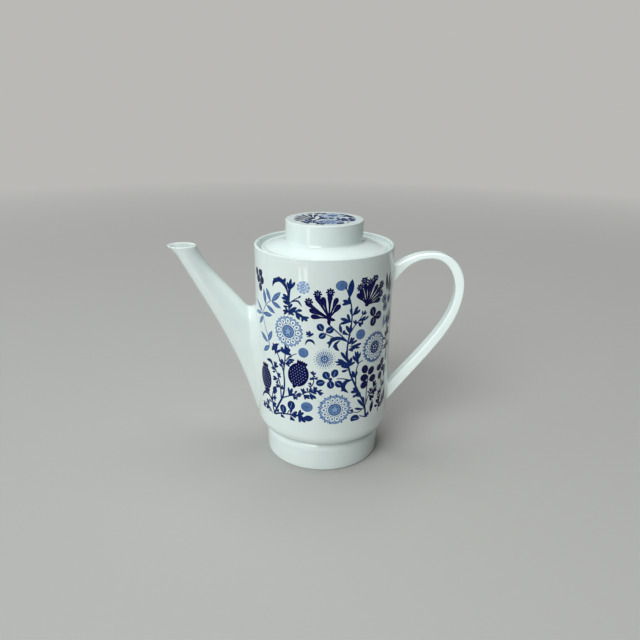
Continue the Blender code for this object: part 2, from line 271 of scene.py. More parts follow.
def rounded(points, steps=4):
    """A profile from (radius, height, corner radius) points, each corner rounded by its radius."""
    made = []
    for k, (x, y, size) in enumerate(points):
        if size == 0 or k in (0, len(points) - 1):
            made.append((x, y))
            continue
        here = Vector((x, y))
        before = Vector(points[k - 1][:2]) - here
        after = Vector(points[k + 1][:2]) - here
        half = before.angle(after) / 2
        reach = min(size / math.tan(half), before.length * 0.49, after.length * 0.49)
        a, b = here + before.normalized() * reach, here + after.normalized() * reach
        for i in range(steps + 1):
            t = i / steps
            q = a * (1 - t) ** 2 + here * 2 * t * (1 - t) + b * t ** 2
            made.append((q.x, q.y))
    return made


def turned(profile, columns=COLUMNS):
    """Rings of points for a profile turned round the pot's axis."""
    phi = np.arange(columns) * math.tau / columns - math.pi / 2
    profile = np.array(profile)
    r, z = profile[:, :1], profile[:, 1:]
    return np.stack([r * np.sin(phi), -r * np.cos(phi), z + 0.0 * phi], -1)


def turned_piece(name, profile, body, node_name, materials, kinds=None, wrap=False):
    """A piece that is nothing but a turned profile."""
    skin = Skin()
    skin.loft(turned(profile), kinds, wrap)
    finish_piece(skin.solid(name, materials), body, node_name)


# ---------------------------------------------------------------- outside of the pot, for the roots

def crease_fillet():
    """Points of the small hollow where the shoulder meets the foot, from its lower end up."""
    wide, high = R - FOOT_R, SHOULDER_TOP - FOOT_TOP
    run = 0.75
    x = run / wide
    slope = high / wide * x / math.sqrt(1 - x * x)
    angle = math.pi / 2 + math.atan(slope)
    radius = run / (1 + math.cos(angle))
    end_z = SHOULDER_TOP - high * math.sqrt(1 - x * x)
    center = (FOOT_R + radius, end_z - radius * math.sin(angle))
    return arc(center, (radius, radius), 180.0, math.degrees(angle), 6)


CREASE = crease_fillet()
CREASE_LOW = CREASE[0][1]


def shoulder_points(steps):
    wide, high = R - FOOT_R, SHOULDER_TOP - FOOT_TOP
    start = -math.degrees(math.acos((CREASE[-1][0] - FOOT_R) / wide))
    return arc((FOOT_R, SHOULDER_TOP), (wide, high), start, 0.0, steps)


OUTSIDE = np.array(
    [(FOOT_R, -5.0)] + CREASE[:-1] + shoulder_points(40)
    + arc((R - LIP_ROUND, RIM - LIP_ROUND), (LIP_ROUND, LIP_ROUND), 0, 90, 6) + [(0.0, RIM)])


def nearest(line, points):
    """The nearest place on a flat polyline to each of the points, and the segment it is on."""
    a, d = line[:-1][None], np.diff(line, axis=0)[None]
    t = np.clip(((points[:, None] - a) * d).sum(-1) / (d * d).sum(-1), 0, 1)[..., None]
    places = a + t * d
    best = ((points[:, None] - places) ** 2).sum(-1).argmin(1)
    return places[np.arange(len(points)), best], best


def to_outside(points):
    """Signed distance from the pot's outside, the nearest points on it and their outward normals."""
    points = np.asarray(points, float)
    shape = points.shape[:-1]
    x, y, z = points.reshape(-1, 3).T
    reach = np.hypot(x, y)
    place = np.stack([reach, z], 1)
    near, best = nearest(OUTSIDE, place)
    direction = np.diff(OUTSIDE, axis=0)[best]
    normal = np.stack([direction[:, 1], -direction[:, 0]], 1)
    normal /= np.linalg.norm(normal, axis=1, keepdims=True)
    side = np.sign(((place - near) * normal).sum(-1))
    distance = np.linalg.norm(place - near, axis=1) * np.where(side == 0, 1, side)
    near, normal = (np.stack([q[:, 0] * (x / reach), q[:, 0] * (y / reach), q[:, 1]], 1) for q in (near, normal))
    return distance.reshape(shape), near.reshape(*shape, 3), normal.reshape(*shape, 3)


def along(line, station):
    """The point of a dense line at a fractional station."""
    k = min(int(station), len(line) - 2)
    return line[k] + (line[k + 1] - line[k]) * (station - k)


def travel(line, station, distance):
    """The station that lies the given distance further along a dense line."""
    k = min(int(station), len(line) - 2)
    here = along(line, station)
    while k < len(line) - 1:
        step = np.linalg.norm(line[k + 1] - here)
        if step >= distance:
            return station + (k + 1 - station) * distance / max(step, 1e-9)
        distance -= step
        k += 1
        station, here = float(k), line[k]
    return float(len(line) - 1)


def root_blend(lines, skin_reach, wall_reach, steps=9):
    """Trims lines that start inside the pot at its outside and eases them into it.  Returns the eased
    points of every line, from below the wall's surface to the skin, and the stations where they end."""
    sides = len(lines)
    distance = to_outside(lines)[0]
    crossing, start = [], []
    for line, gap in zip(lines, distance):
        k = int(np.max(np.nonzero(gap[:len(gap) // 2] < 0)[0]))
        share = gap[k] / (gap[k] - gap[k + 1])
        start.append(k + share)
        crossing.append(along(line, k + share))
    crossing = np.array(crossing)
    _, crossing, normal = to_outside(crossing)
    tangent = np.roll(crossing, -1, 0) - np.roll(crossing, 1, 0)
    away = np.cross(tangent, normal)
    away /= np.linalg.norm(away, axis=1, keepdims=True)
    outward = crossing - crossing.mean(0)
    away *= np.sign((away * outward).sum(1, keepdims=True))
    for _ in range(2):
        away = (np.roll(away, 1, 0) + 2 * away + np.roll(away, -1, 0)) / 4
    away /= np.linalg.norm(away, axis=1, keepdims=True)
    wall_reach = np.asarray(wall_reach)[:, None]
    _, wall, wall_normal = to_outside(crossing + away * wall_reach)
    slide = away - wall_normal * (away * wall_normal).sum(1, keepdims=True)
    slide /= np.linalg.norm(slide, axis=1, keepdims=True)
    ends, eased = [], []
    t = np.linspace(0, 1, steps + 1)[:, None]
    for i in range(sides):
        end = travel(lines[i], start[i], skin_reach[i])
        skin = along(lines[i], end)
        p0, p3 = wall[i], skin
        inward = (crossing[i] - p3) / max(np.linalg.norm(crossing[i] - p3), 1e-9)
        bend = math.acos(max(-1.0, min(1.0, float(inward @ slide[i]))))
        pull = 4 / 3 * math.tan(bend / 4) / math.tan(bend / 2) if bend > 0.05 else 0.66
        p1 = p0 - slide[i] * wall_reach[i] * pull
        p2 = p3 + (crossing[i] - p3) * pull
        curve = p0 * (1 - t) ** 3 + p1 * 3 * t * (1 - t) ** 2 + p2 * 3 * t * t * (1 - t) + p3 * t ** 3
        below = wall[i] - wall_normal[i] * SUNK
        eased.append(np.vstack([below[None], curve]))
        ends.append(end)
    return np.array(eased), np.array(ends), wall, wall_normal


def bezier(points, steps):
    t = np.linspace(0, 1, steps + 1)[:, None]
    p = np.array(points, float)
    return p[0] * (1 - t) ** 3 + p[1] * 3 * t * (1 - t) ** 2 + p[2] * 3 * t * t * (1 - t) + p[3] * t ** 3


# ---------------------------------------------------------------- vessel

def vessel_profile():
    """The vessel's lathe lines, from the top of the printed band over the lip, down the inside and
    under the wall back up to the band's lower edge."""
    lip_inner = R - LIP_WIDTH
    ledge_foot = SEAT - 3.5
    inner = R - WALL
    inner_foot = FOOT_R - 3.3
    points = arc((R - LIP_ROUND, RIM - LIP_ROUND), (LIP_ROUND, LIP_ROUND), 0, 90, 8)
    points += arc((lip_inner + 0.8, RIM - 0.8), (0.8, 0.8), 90, 180, 6)
    points += arc((LID_R + 0.5, RIM - 0.8), (lip_inner - LID_R - 0.5, RIM - 0.8 - SEAT), 0, -90, 10)[1:]
    points += rounded([(LID_R, SEAT, 0), (LEDGE_R, SEAT, 0.6), (LEDGE_R, ledge_foot, 0.6),
                       (inner, ledge_foot - 5.0, 2.0), (inner, ledge_foot - 12.0, 0)])[1:]
    levels = np.linspace(ledge_foot - 16.0, SHOULDER_TOP + WALL + 4.0, 26)
    points += [(inner, z) for z in levels]
    points += arc((inner_foot, SHOULDER_TOP + WALL), (inner - inner_foot, 9.0), 0, -90, 10)
    points += [(inner_foot, CREASE_LOW), (FOOT_R, CREASE_LOW)]
    points += CREASE[1:-1] + shoulder_points(16)
    return points


def box_points(bm, low, high):
    """Adds a box between two corners and returns its vertices."""
    made = bmesh.ops.create_cube(bm, size=1.0)["verts"]
    for v in made:
        v.co = Vector([low[i] + (high[i] - low[i]) * (v.co[i] + 0.5) for i in range(3)])
    return made


def strainer_and_notch():
    """Cutters for the seven holes behind the spout and for the notch that lets the lid's lug pass."""
    hole, height, ring = 2.5, 58.0, 7.6
    bm = bmesh.new()
    spots = [(0.0, height)] + [(ring * math.cos(math.radians(60 * k + 30)),
                                height + ring * math.sin(math.radians(60 * k + 30))) for k in range(6)]
    for y, z in spots:
        made = bmesh.ops.create_cone(bm, cap_ends=True, segments=24, radius1=hole, radius2=hole, depth=14.0)
        for v in made["verts"]:
            a, b, c = v.co
            v.co = Vector((-R + 2.0 + c, y + b, z - a))
    half = (lug_high.y - lug_low.y) / 2 / MM + 1.0
    box_points(bm, (FLANGE_R - 1, -half, SEAT - 9.5), ((lug_high.x - AXIS_X) / MM + 1.0, half, SEAT + 1.0))
    bmesh.ops.scale(bm, vec=(MM,) * 3, verts=bm.verts)
    bmesh.ops.translate(bm, vec=(AXIS_X, 0, 0), verts=bm.verts)
    mesh = bpy.data.meshes.new("cutters")
    bm.to_mesh(mesh)
    bm.free()
    return link("cutters", mesh)


def cut(obj, cutter):
    """Takes the cutter out of the object for good."""
    modifier = obj.modifiers.new("cut", "BOOLEAN")
    modifier.operation, modifier.solver, modifier.object = "DIFFERENCE", "EXACT", cutter
    bpy.context.view_layer.update()
    made = bpy.data.meshes.new_from_object(obj.evaluated_get(bpy.context.evaluated_depsgraph_get()))
    obj.modifiers.clear()
    obj.data = made
    bpy.data.objects.remove(cutter, do_unlink=True)


# ---------------------------------------------------------------- printed pattern

STROKE = 0.58              # half the printed width of a line of width 1
FLEURON_SIZE = 7.5         # longer fleurons get no wider lobes


def toward(t):
    """The unit step in the direction of an angle."""
    return np.array((math.cos(t), math.sin(t)))


def around(at, t, reach, high=None):
    """The place at an angle on a circle, or on an oval with its own height."""
    return at[0] + reach * math.cos(t), at[1] + (high or reach) * math.sin(t)


class Print:
    """Flat shapes in millimetres, later ones over earlier ones."""

    def __init__(self):
        self.shapes = []

    def put(self, ink, points):
        self.shapes.append((ink, np.array(points, float)))

    def oval(self, ink, at, wide, high=None, turn=0.0, sides=None):
        high = wide if high is None else high
        sides = sides or max(8, min(40, int(9 * math.sqrt(max(wide, high)))))
        c, s = math.cos(math.radians(turn)), math.sin(math.radians(turn))
        ring = [around((0, 0), math.tau * (k + 0.5) / sides, wide, high) for k in range(sides)]
        self.put(ink, [(at[0] + x * c - y * s, at[1] + x * s + y * c) for x, y in ring])

    def band(self, ink, path, half):
        """A shape along a path, with half its width at each of the path's points."""
        ahead = np.gradient(path, axis=0)
        ahead /= np.linalg.norm(ahead, axis=1, keepdims=True)
        across = np.stack([-ahead[:, 1], ahead[:, 0]], 1) * half[:, None]
        self.put(ink, np.vstack([path + across, (path - across)[::-1]]))

    def line(self, ink, width, *path):
        """A stroke along a smooth path of x, y numbers; width is one number, or its start and its end."""
        start, end = width if isinstance(width, tuple) else (width, width)
        path = smooth_path(np.reshape(path, (-1, 2)))
        self.band(ink, path, np.linspace(start, end, len(path)) * STROKE)

    def leaf(self, ink, base, tip, wide, fullest=0.45, bend=0.0, vein=None, round_tip=False):
        """A leaf from base to tip; bend moves its middle sideways, vein draws its midrib."""
        base, tip = np.array(base, float), np.array(tip, float)
        ahead = tip - base
        across = np.array((-ahead[1], ahead[0])) / np.linalg.norm(ahead)
        t = np.linspace(0, 1, 9)[:, None]
        if round_tip:
            t = np.sin(math.pi / 2 * t)
        power = math.log(0.5) / math.log(fullest)
        half = wide / 2 * np.maximum(np.sin(math.pi * t ** power), 0) ** (0.6 if round_tip else 0.85)
        middle = base + ahead * t + across * bend * 4 * t * (1 - t)
        self.put(ink, np.vstack([(middle + across * half)[:-1], (middle - across * half)[:0:-1]]))
        if vein is not None:
            self.put(vein, np.vstack([middle[1], middle[3] + across * 0.16, middle[6] + across * 0.1, middle[7],
                                      middle[6] - across * 0.1, middle[3] - across * 0.16]))

    def fleuron(self, ink, base, tip, wide=1.0):
        """A folk leaf of three rounded lobes fanned from one narrow neck."""
        base, tip = np.array(base, float), np.array(tip, float)
        ahead = (tip - base) * 1.16
        base = tip - ahead
        size = min(np.linalg.norm(ahead), FLEURON_SIZE)
        across = np.array((-ahead[1], ahead[0])) * wide * (1 if len(self.shapes) % 2 else -1)
        self.leaf(ink, base, tip + across * 0.08, size * (0.16 + 0.22 * wide), 0.70, -0.04 * size, round_tip=True)
        self.leaf(ink, base + ahead * 0.16, tip - ahead * 0.16 + across * 0.54, size * (0.14 + 0.18 * wide), 0.68,
                  -0.05 * size, round_tip=True)
        self.leaf(ink, base + ahead * 0.10, tip - ahead * 0.30 - across * 0.54, size * (0.14 + 0.18 * wide), 0.68,
                  0.05 * size, round_tip=True)

    def leaves(self, ink, *rows):
        """Leaves of one ink, each given as (base x, base y, tip x, tip y, width, ...) like leaf."""
        for a, b, c, d, *shape in rows:
            self.leaf(ink, (a, b), (c, d), *shape)

    def veined(self, ink, vein, *rows):
        """Leaves with a midrib, each given as (base x, base y, tip x, tip y, width)."""
        for a, b, c, d, wide in rows:
            self.leaf(ink, (a, b), (c, d), wide, 0.5, 0.0, vein)

    def fleurons(self, ink, wide, *ends):
        """Fleurons of one ink and width, four numbers each: base x, base y, tip x, tip y."""
        for a, b, c, d in np.reshape(ends, (-1, 4)):
            self.fleuron(ink, (a, b), (c, d), wide)

    def leaflets(self, ink, size, vein, *rows):
        """Leaflets of one ink, size and vein, each given as (x, y, heading)."""
        for x, y, heading in rows:
            self.leaflet(ink, (x, y), heading, size, vein)

    def curl(self, ink, wide, *path):
        """A curved leaf along x, y numbers that swells in its middle and ends in a point."""
        path = smooth_path(np.reshape(path, (-1, 2)))
        t = np.linspace(0.06, 1, len(path))
        self.band(ink, path, wide / 2 * np.sin(math.pi * t ** 1.2) ** 0.8)

    def leaflet(self, ink, at, heading, size, vein=PALE):
        """A round leaflet whose heel points back along the heading, with a light vein."""
        ahead, at = toward(math.radians(heading)), np.array(at, float)
        self.oval(ink, at, size * 1.06, size * 0.92, heading)
        self.leaf(ink, at - ahead * size * 1.35, at + ahead * size * 0.6, size * 1.2, 0.6)
        self.leaf(vein, at - ahead * size * 0.8, at + ahead * size * 0.72, 0.42)

    def star(self, ink, at, size):
        """A small seed flower: a ring of beads round a disc with a light eye."""
        self.rings(at, size, (ink, 0.80, 8, 0.26), (ink, 0.70), (PALE, 0.30), (ink, 0.21))

    def dots(self, ink, at, reach, count, size, turn=0.0, high=None):
        """Dots evenly spaced on a circle, or on an oval with its own height."""
        for k in range(count):
            t = math.tau * (k + turn) / count
            self.oval(ink, around(at, t, reach, high), size)

    def rings(self, at, size, *rows):
        """Dots on circles, as rows of (ink, reach, count, radius and maybe turn), and discs, as rows of (ink,
        radius); lengths are shares of the size."""
        for ink, *row in rows:
            if len(row) == 1:
                self.oval(ink, at, size * row[0])
            else:
                self.dots(ink, at, size * row[0], row[1], size * row[2], *row[3:])

    def rays(self, inks, at, reaches, count, wide):
        """Leaves from one middle outwards, taking the inks and the reaches in turn."""
        for k in range(count):
            t, reach = math.tau * k / count, reaches[k % len(reaches)]
            self.leaf(inks[k % len(inks)], at, around(at, t, reach), wide, 0.8)

    def disc(self, at, size, high=None):
        """A plain round seed head in steel blue with a faint sheen of dots."""
        high = high or size
        self.oval(STEEL, at, size, high)
        for share, count, turn in ((0.72, 14, 0.0), (0.42, 8, 0.5)):
            self.dots(PALE, at, size * share, count, 0.20, turn, high * share)

    def looped_rose(self, at, size, loops, ink=STEEL, veil=PALE):
        """A lace rose: a scalloped veil, a ring of white loops with a seed in each, a star centre."""
        self.rings(at, size, (ink, 0.91, loops * 2, 0.09), (ink, 0.91), (veil, 0.90, loops * 2, 0.06), (veil, 0.875))
        for k in range(loops):
            t = math.tau * k / loops
            for color, wide, high in ((ink, 0.215, 0.185), (GLAZE, 0.185, 0.155), (ink, 0.085, 0.06)):
                self.oval(color, around(at, t, size * 0.675), size * wide, size * high, math.degrees(t))
        self.rings(at, size, (ink, 0.52), (GLAZE, 0.49), (ink, 0.43), (veil, 0.31), (ink, 0.28))
        for k in range(5):
            t = math.tau * k / 5 + math.pi / 2
            self.leaf(veil, at, around(at, t, size * 0.23), size * 0.13)

    def fringed_rose(self, at, size, rays, ink=STEEL, veil=PALE, seed=GLAZE, eye=True):
        """A fringed rose: pointed rays with dots between, rings of seeds, a round heart."""
        at = np.array(at, float)
        for k in range(rays):
            heading = toward(math.tau * k / rays)
            self.leaf((ink, veil)[k % 2], at + heading * size * 0.60, at + heading * size * (1.03, 0.99)[k % 2],
                      size * 0.19, 0.35)
        seeds = rays * 4 // 5
        self.rings(at, size, (veil, 0.92, rays, 0.055, 0.5), (veil, 0.88), (ink, 0.87, rays * 2, 0.034), (ink, 0.82),
                   (seed, 0.685, seeds, 0.098), (ink, 0.685, seeds, 0.036), (seed, 0.555), (veil, 0.525),
                   (seed, 0.485, rays, 0.034), (ink, 0.43))
        if eye:
            self.rings(at, size, (veil, 0.29, 10, 0.055), (seed, 0.14, 5, 0.055))

    def lace(self, at, size, rays, ink=PALE, heart=STEEL):
        """A light lace flower: dotted rays round a small heart."""
        for k in range(rays):
            heading = toward(math.tau * k / rays)
            self.leaf(ink, at + heading * size * 0.42, at + heading * size * 0.84, size * 0.11, 0.6)
            self.oval(heart, at + heading * size * 0.98, size * 0.05)
        self.rings(at, size, (heart, 0.80, rays, 0.045, 0.5), (ink, 0.50), (GLAZE, 0.42, 14, 0.05), (heart, 0.31),
                   (GLAZE, 0.16, 6, 0.045))

    def daisy(self, at, size, petals=9):
        """A small pale daisy of rounded petals with a netted centre."""
        self.rings(at, size, (PALE, 0.70, petals, 0.27), (PALE, 0.72), (GLAZE, 0.60, petals, 0.085, 0.5),
                   (STEEL, 0.80, petals, 0.06), (STEEL, 0.38, petals, 0.065), (GLAZE, 0.20, 5, 0.06), (STEEL, 0.10))

    def seed_head(self, foot, tips, flowers, ink=DARK):
        """A fan of club-shaped stalks from one foot, with seed flowers over them."""
        foot = np.array(foot, float)
        for tip in tips:
            tip = np.array(tip, float)
            unit = (tip - foot) / np.linalg.norm(tip - foot)
            across = np.array((-unit[1], unit[0]))
            neck = foot + (tip - foot) * 0.45
            half = [foot + across * 0.5, neck + across * 0.7, tip - unit * 5.0 + across * 1.2,
                    tip - unit * 2.4 + across * 1.75, tip - unit * 0.6 + across * 1.5]
            other = [2 * (foot + unit * ((q - foot) @ unit)) - q for q in half]
            self.put(ink, smooth_path(half + [tip + unit * 0.5] + other[::-1], 3))
            self.leaf(COBALT, neck, tip - unit * 1.4, 0.5, 0.7)
        self.oval(ink, foot, 1.9, 1.4)
        for at in flowers:
            self.star(ink, at, 2.9)

    def fruit(self, at, wide, high, turn):
        """A pomegranate: a dark round fruit with a crown, a tail and rows of seeds."""
        at = np.array(at, float)
        side = toward(math.radians(turn))
        up = np.array((-side[1], side[0]))
        for k in (-2, -1, 0, 1, 2):
            root = at + up * high * 0.80 + side * k * 0.9
            self.leaf(DARK, root, root + up * high * (0.47 - 0.03 * abs(k)) + side * k * 0.95, 2.3, 0.45)
        self.oval(DARK, at, wide, high, turn)
        self.leaf(DARK, at - up * high * 0.85, at - up * high * 1.22, 3.0)
        for row in range(-4, 5):
            for col in range(-4, 5):
                x, y = (col + (row % 2) / 2) * 2.05, row * 1.95
                if (x / (wide - 1.0)) ** 2 + (y / (high - 1.0)) ** 2 < 1:
                    self.oval(PALE, at + side * x + up * y, 0.30, 0.36, turn, 8)


def smooth_path(path, per=5):
    """A smooth curve through the points of a path."""
    p = np.array(path, float)
    if len(p) == 2:
        return p[0] + (p[1] - p[0]) * np.linspace(0, 1, 4)[:, None]
    p = np.vstack([2 * p[0] - p[1], p, 2 * p[-1] - p[-2]])
    made = []
    for k in range(1, len(p) - 2):
        a, b, c, d = p[k - 1:k + 3]
        for i in range(per):
            t = i / per
            made.append(0.5 * (2 * b + (c - a) * t + (2 * a - 5 * b + 4 * c - d) * t * t
                               + (3 * b - a - 3 * c + d) * t ** 3))
    made.append(p[-2])
    return np.array(made)


def inside(points, polygon):
    """True for points that the polygon winds round."""
    winds = np.zeros(len(points), dtype=int)
    for a, b in zip(polygon, np.roll(polygon, -1, 0)):
        left = (b[0] - a[0]) * (points[:, 1] - a[1]) - (points[:, 0] - a[0]) * (b[1] - a[1])
        winds += (a[1] <= points[:, 1]) & (b[1] > points[:, 1]) & (left > 0)
        winds -= (a[1] > points[:, 1]) & (b[1] <= points[:, 1]) & (left < 0)
    return winds != 0


def inlaid(shapes, frame_points, frame_edges, keep):
    """One triangle mesh of the frame's points with every shape's outline in it, and each triangle's ink.
    keep tells which points of a shape may be printed."""
    points, edges = list(map(tuple, frame_points)), list(frame_edges)
    for _, outline in shapes:
        start, count = len(points), len(outline)
        points.extend(map(tuple, outline))
        edges.extend((start + i, start + (i + 1) % count) for i in range(count))
    made = delaunay_2d_cdt([Vector(p) for p in points], edges, [], 0, 1e-5)
    flat = np.array([tuple(p) for p in made[0]])
    triangles = np.array(made[2])
    centers = flat[triangles].mean(1)
    kinds = np.zeros(len(triangles), dtype=int)
    for ink, outline in shapes:
        low, high = outline.min(0), outline.max(0)
        near = np.nonzero(((centers >= low) & (centers <= high)).all(1))[0]
        kinds[near[inside(centers[near], outline)]] = ink
    kinds[~keep(centers)] = GLAZE
    return flat, [tuple(t) for t in triangles.tolist()], kinds.tolist()


def left_garden(p):
    """Stems, fruit and flowers of the sheet's left half."""
    p.line(COBALT, (1.6, 0.8), -40, 43, -35, 53, -30.5, 62, -29, 72, -29.5, 82, -28.5, 89, -28, 97)
    p.line(COBALT, (1.0, 0.7), -29.4, 81, -33, 90, -36, 96)
    p.leaf(COBALT, (-41, 94.5), (-33, 102), 3.2, 0.4, 0.8)
    p.fleurons(COBALT, 0.75, -37.5, 93, -35, 101.5)
    p.line(COBALT, (0.8, 0.5), -27.8, 90, -24, 94.5, -19, 97.5)
    p.fleurons(COBALT, 0.7, -28.2, 95, -31.5, 100, -28, 96, -28, 102.5, -28, 95, -23.6, 99.8, -26, 92.5, -20.5, 92.5,
           -28.3, 88, -23, 89.5, -29, 86, -34, 89.5)
    p.line(COBALT, (1.1, 0.6), -32, 59.5, -33, 70, -36, 79, -39, 84)
    p.curl(COBALT, 2.8, -40, 82.5, -42.5, 86, -47.5, 85.5)
    p.fleurons(COBALT, 0.75, -38, 82, -36, 87, -37, 80, -42, 80.5, -35, 75.5, -32.5, 79, -34.8, 74, -40, 71.5,
           -33.3, 68, -37.5, 69, -32.6, 66.5, -30.9, 70.5)
    p.line(COBALT, (1.2, 0.7), -39, 43, -41, 52, -41, 60, -38, 67)
    p.leaf(COBALT, (-39.5, 60), (-37.5, 67.5), 4.6, 0.55)
    p.fleurons(COBALT, 0.8, -41, 57, -36.5, 58, -41, 53, -44.5, 57, -40.8, 50, -37, 53.5)
    p.curl(COBALT, 2.2, -41, 54, -46, 58, -52, 57, -56.5, 51)
    p.line(COBALT, (1.0, 0.7), -41, 43, -46, 48, -52, 47)
    p.fleurons(COBALT, 0.85, -46.5, 48, -49, 53, -50, 47.6, -55, 45.2, -44, 46.5, -50, 44.6)
    p.line(COBALT, (1.2, 0.7), -41, 43, -33, 47, -27, 48.2, -20, 49, -14, 48, -9, 48)
    p.leaflets(COBALT, 3.2, PALE, (-30.5, 51.5, 95))
    p.leaflets(COBALT, 3.4, PALE, (-23.5, 56.3, 75))
    p.line(COBALT, 0.6, -27, 48.3, -25, 52)
    p.leaf(COBALT, (-15, 47.6), (-6.5, 48.5), 5.0, 0.55)
    p.fleurons(COBALT, 0.8, -24, 48.6, -19, 52.5, -19, 49, -13.5, 52, -24, 48, -20.5, 43.8, -18, 48.6, -12.5, 44.3,
           -33, 47, -29, 44.4, -35, 46.4, -37.5, 49.8)
    p.line(COBALT, (0.9, 0.6), -30.6, 60.5, -24, 64, -17, 66, -10, 69.5, -1.5, 70)
    p.fleurons(COBALT, 0.7, -25.5, 63, -22, 70, -20.5, 65, -16, 68, -14.5, 67, -13.5, 71.8, -10.5, 69, -8.5, 73.2,
           -7, 69.8, -4, 73.5, -4, 70, 0.5, 69, -14, 67, -9.5, 63.8, -9.5, 69, -4.5, 64.8, -22, 64.5, -18.5, 61.8)
    p.line(COBALT, 0.7, -7, 84.5, -6.5, 79, -7.5, 75, -9.3, 73)
    p.fleurons(COBALT, 0.8, -7, 82, -7, 86, -6.6, 80, -3.8, 81.5, -6.8, 79, -9.4, 80.6, -8, 74.5, -10.8, 76)
    p.fruit((-18, 81.5), 7.8, 9.4, -18)
    p.fruit((-49, 70.5), 7.0, 9.4, 4)
    p.line(DARK, (1.2, 0.8), -48.5, 62, -46.5, 58.5)
    p.fleurons(DARK, 0.9, -48.6, 61.5, -44, 62.2, -48.6, 61, -51, 57.8)


def left_sky(p):
    """The pale sprig, pods, tuft and lace rose of the sheet's upper left."""
    p.line(STEEL, (0.7, 0.5), -43.5, 97, -44.5, 103, -48, 110, -51, 119, -46.5, 127.5, -40.5, 132)
    p.line(STEEL, 0.5, -51, 119.5, -60, 118)
    p.veined(STEEL, PALE, (-47, 127.5, -49.3, 138.5, 3.8), (-41, 131, -45.8, 140, 3.5), (-40, 131.5, -31, 140, 3.8),
             (-40, 131.5, -31, 128.5, 3.3), (-46, 127.5, -36.5, 123.5, 3.3), (-51.5, 120.5, -62.5, 127.5, 3.0),
             (-51, 120, -39.5, 121.3, 3.5), (-52, 119.8, -66, 117, 3.0), (-50.5, 118, -58, 110, 3.4),
             (-45, 100.5, -40, 109.8, 3.8), (-45, 99.5, -55.5, 104.8, 3.8), (-43, 97.5, -51.5, 91, 3.8))
    for x, y, turn in ((-60.5, 148.3, 20), (-53.5, 149, -25), (-58, 143.6, 30), (-51.6, 143.8, -20),
                       (-54.3, 138.3, 0)):
        p.oval(DARK, (x, y), 2.8, 3.1, turn)
    p.line(DARK, 0.7, -54.3, 141, -55.5, 146, -56.5, 150)
    p.line(COBALT, (1.1, 0.8), -24.4, 125, -24.5, 132, -24, 140, -22.5, 147)
    p.line(COBALT, (1.0, 1.0), -24.4, 132, -24.6, 137, -25.2, 141)
    p.curl(COBALT, 3.3, -25, 139.5, -27.2, 145.2, -31.6, 148.6, -36.6, 146.8, -38.8, 142.4)
    p.leaves(COBALT, (-29.5, 145.8, -26.8, 150.6, 2.6, 0.55), (-33.0, 147.0, -32.2, 151.0, 2.2, 0.6),
           (-36.0, 146.2, -37.4, 149.0, 1.8, 0.6), (-25.0, 138.0, -22.6, 151.2, 2.7, 0.62),
           (-24.4, 141.5, -19.6, 149.0, 2.1, 0.7), (-24.8, 142.0, -25.6, 148.4, 1.7, 0.7))
    p.fleurons(COBALT, 0.85, -24.3, 135, -28.8, 139.5, -24.5, 131.5, -29.5, 134, -24.5, 127, -29.5, 127.6,
           -24, 129, -18.8, 131.5, -24.4, 126, -20.5, 128.6, -20, 128, -14, 125.5, -15, 126, -11.3, 122)
    p.line(COBALT, (0.8, 0.5), -24.3, 133, -21, 136, -17, 138.6)
    p.curl(COBALT, 1.4, -23, 134.5, -18, 135.8, -14.8, 132)
    p.line(COBALT, (0.8, 0.5), -24, 126.5, -19, 128, -13, 123.5)
    p.leaf(COBALT, (-17.5, 137.8), (-15.6, 140), 1.3)
    p.looped_rose((-25.5, 112.8), 11.4, 12)
    p.daisy((-14, 145.6), 4.8)
    p.disc((-14, 98.9), 3.7)
    p.disc((-11.5, 57.2), 4.4, 3.9)
    p.fleurons(COBALT, 0.9, -9.6, 111, -9.4, 115.6)
    p.fleurons(COBALT, 0.8, -9.6, 112, -12.2, 112.6)
    p.curl(COBALT, 1.9, -12.8, 105, -11, 108.2, -8, 108.3, -5.6, 105.4)


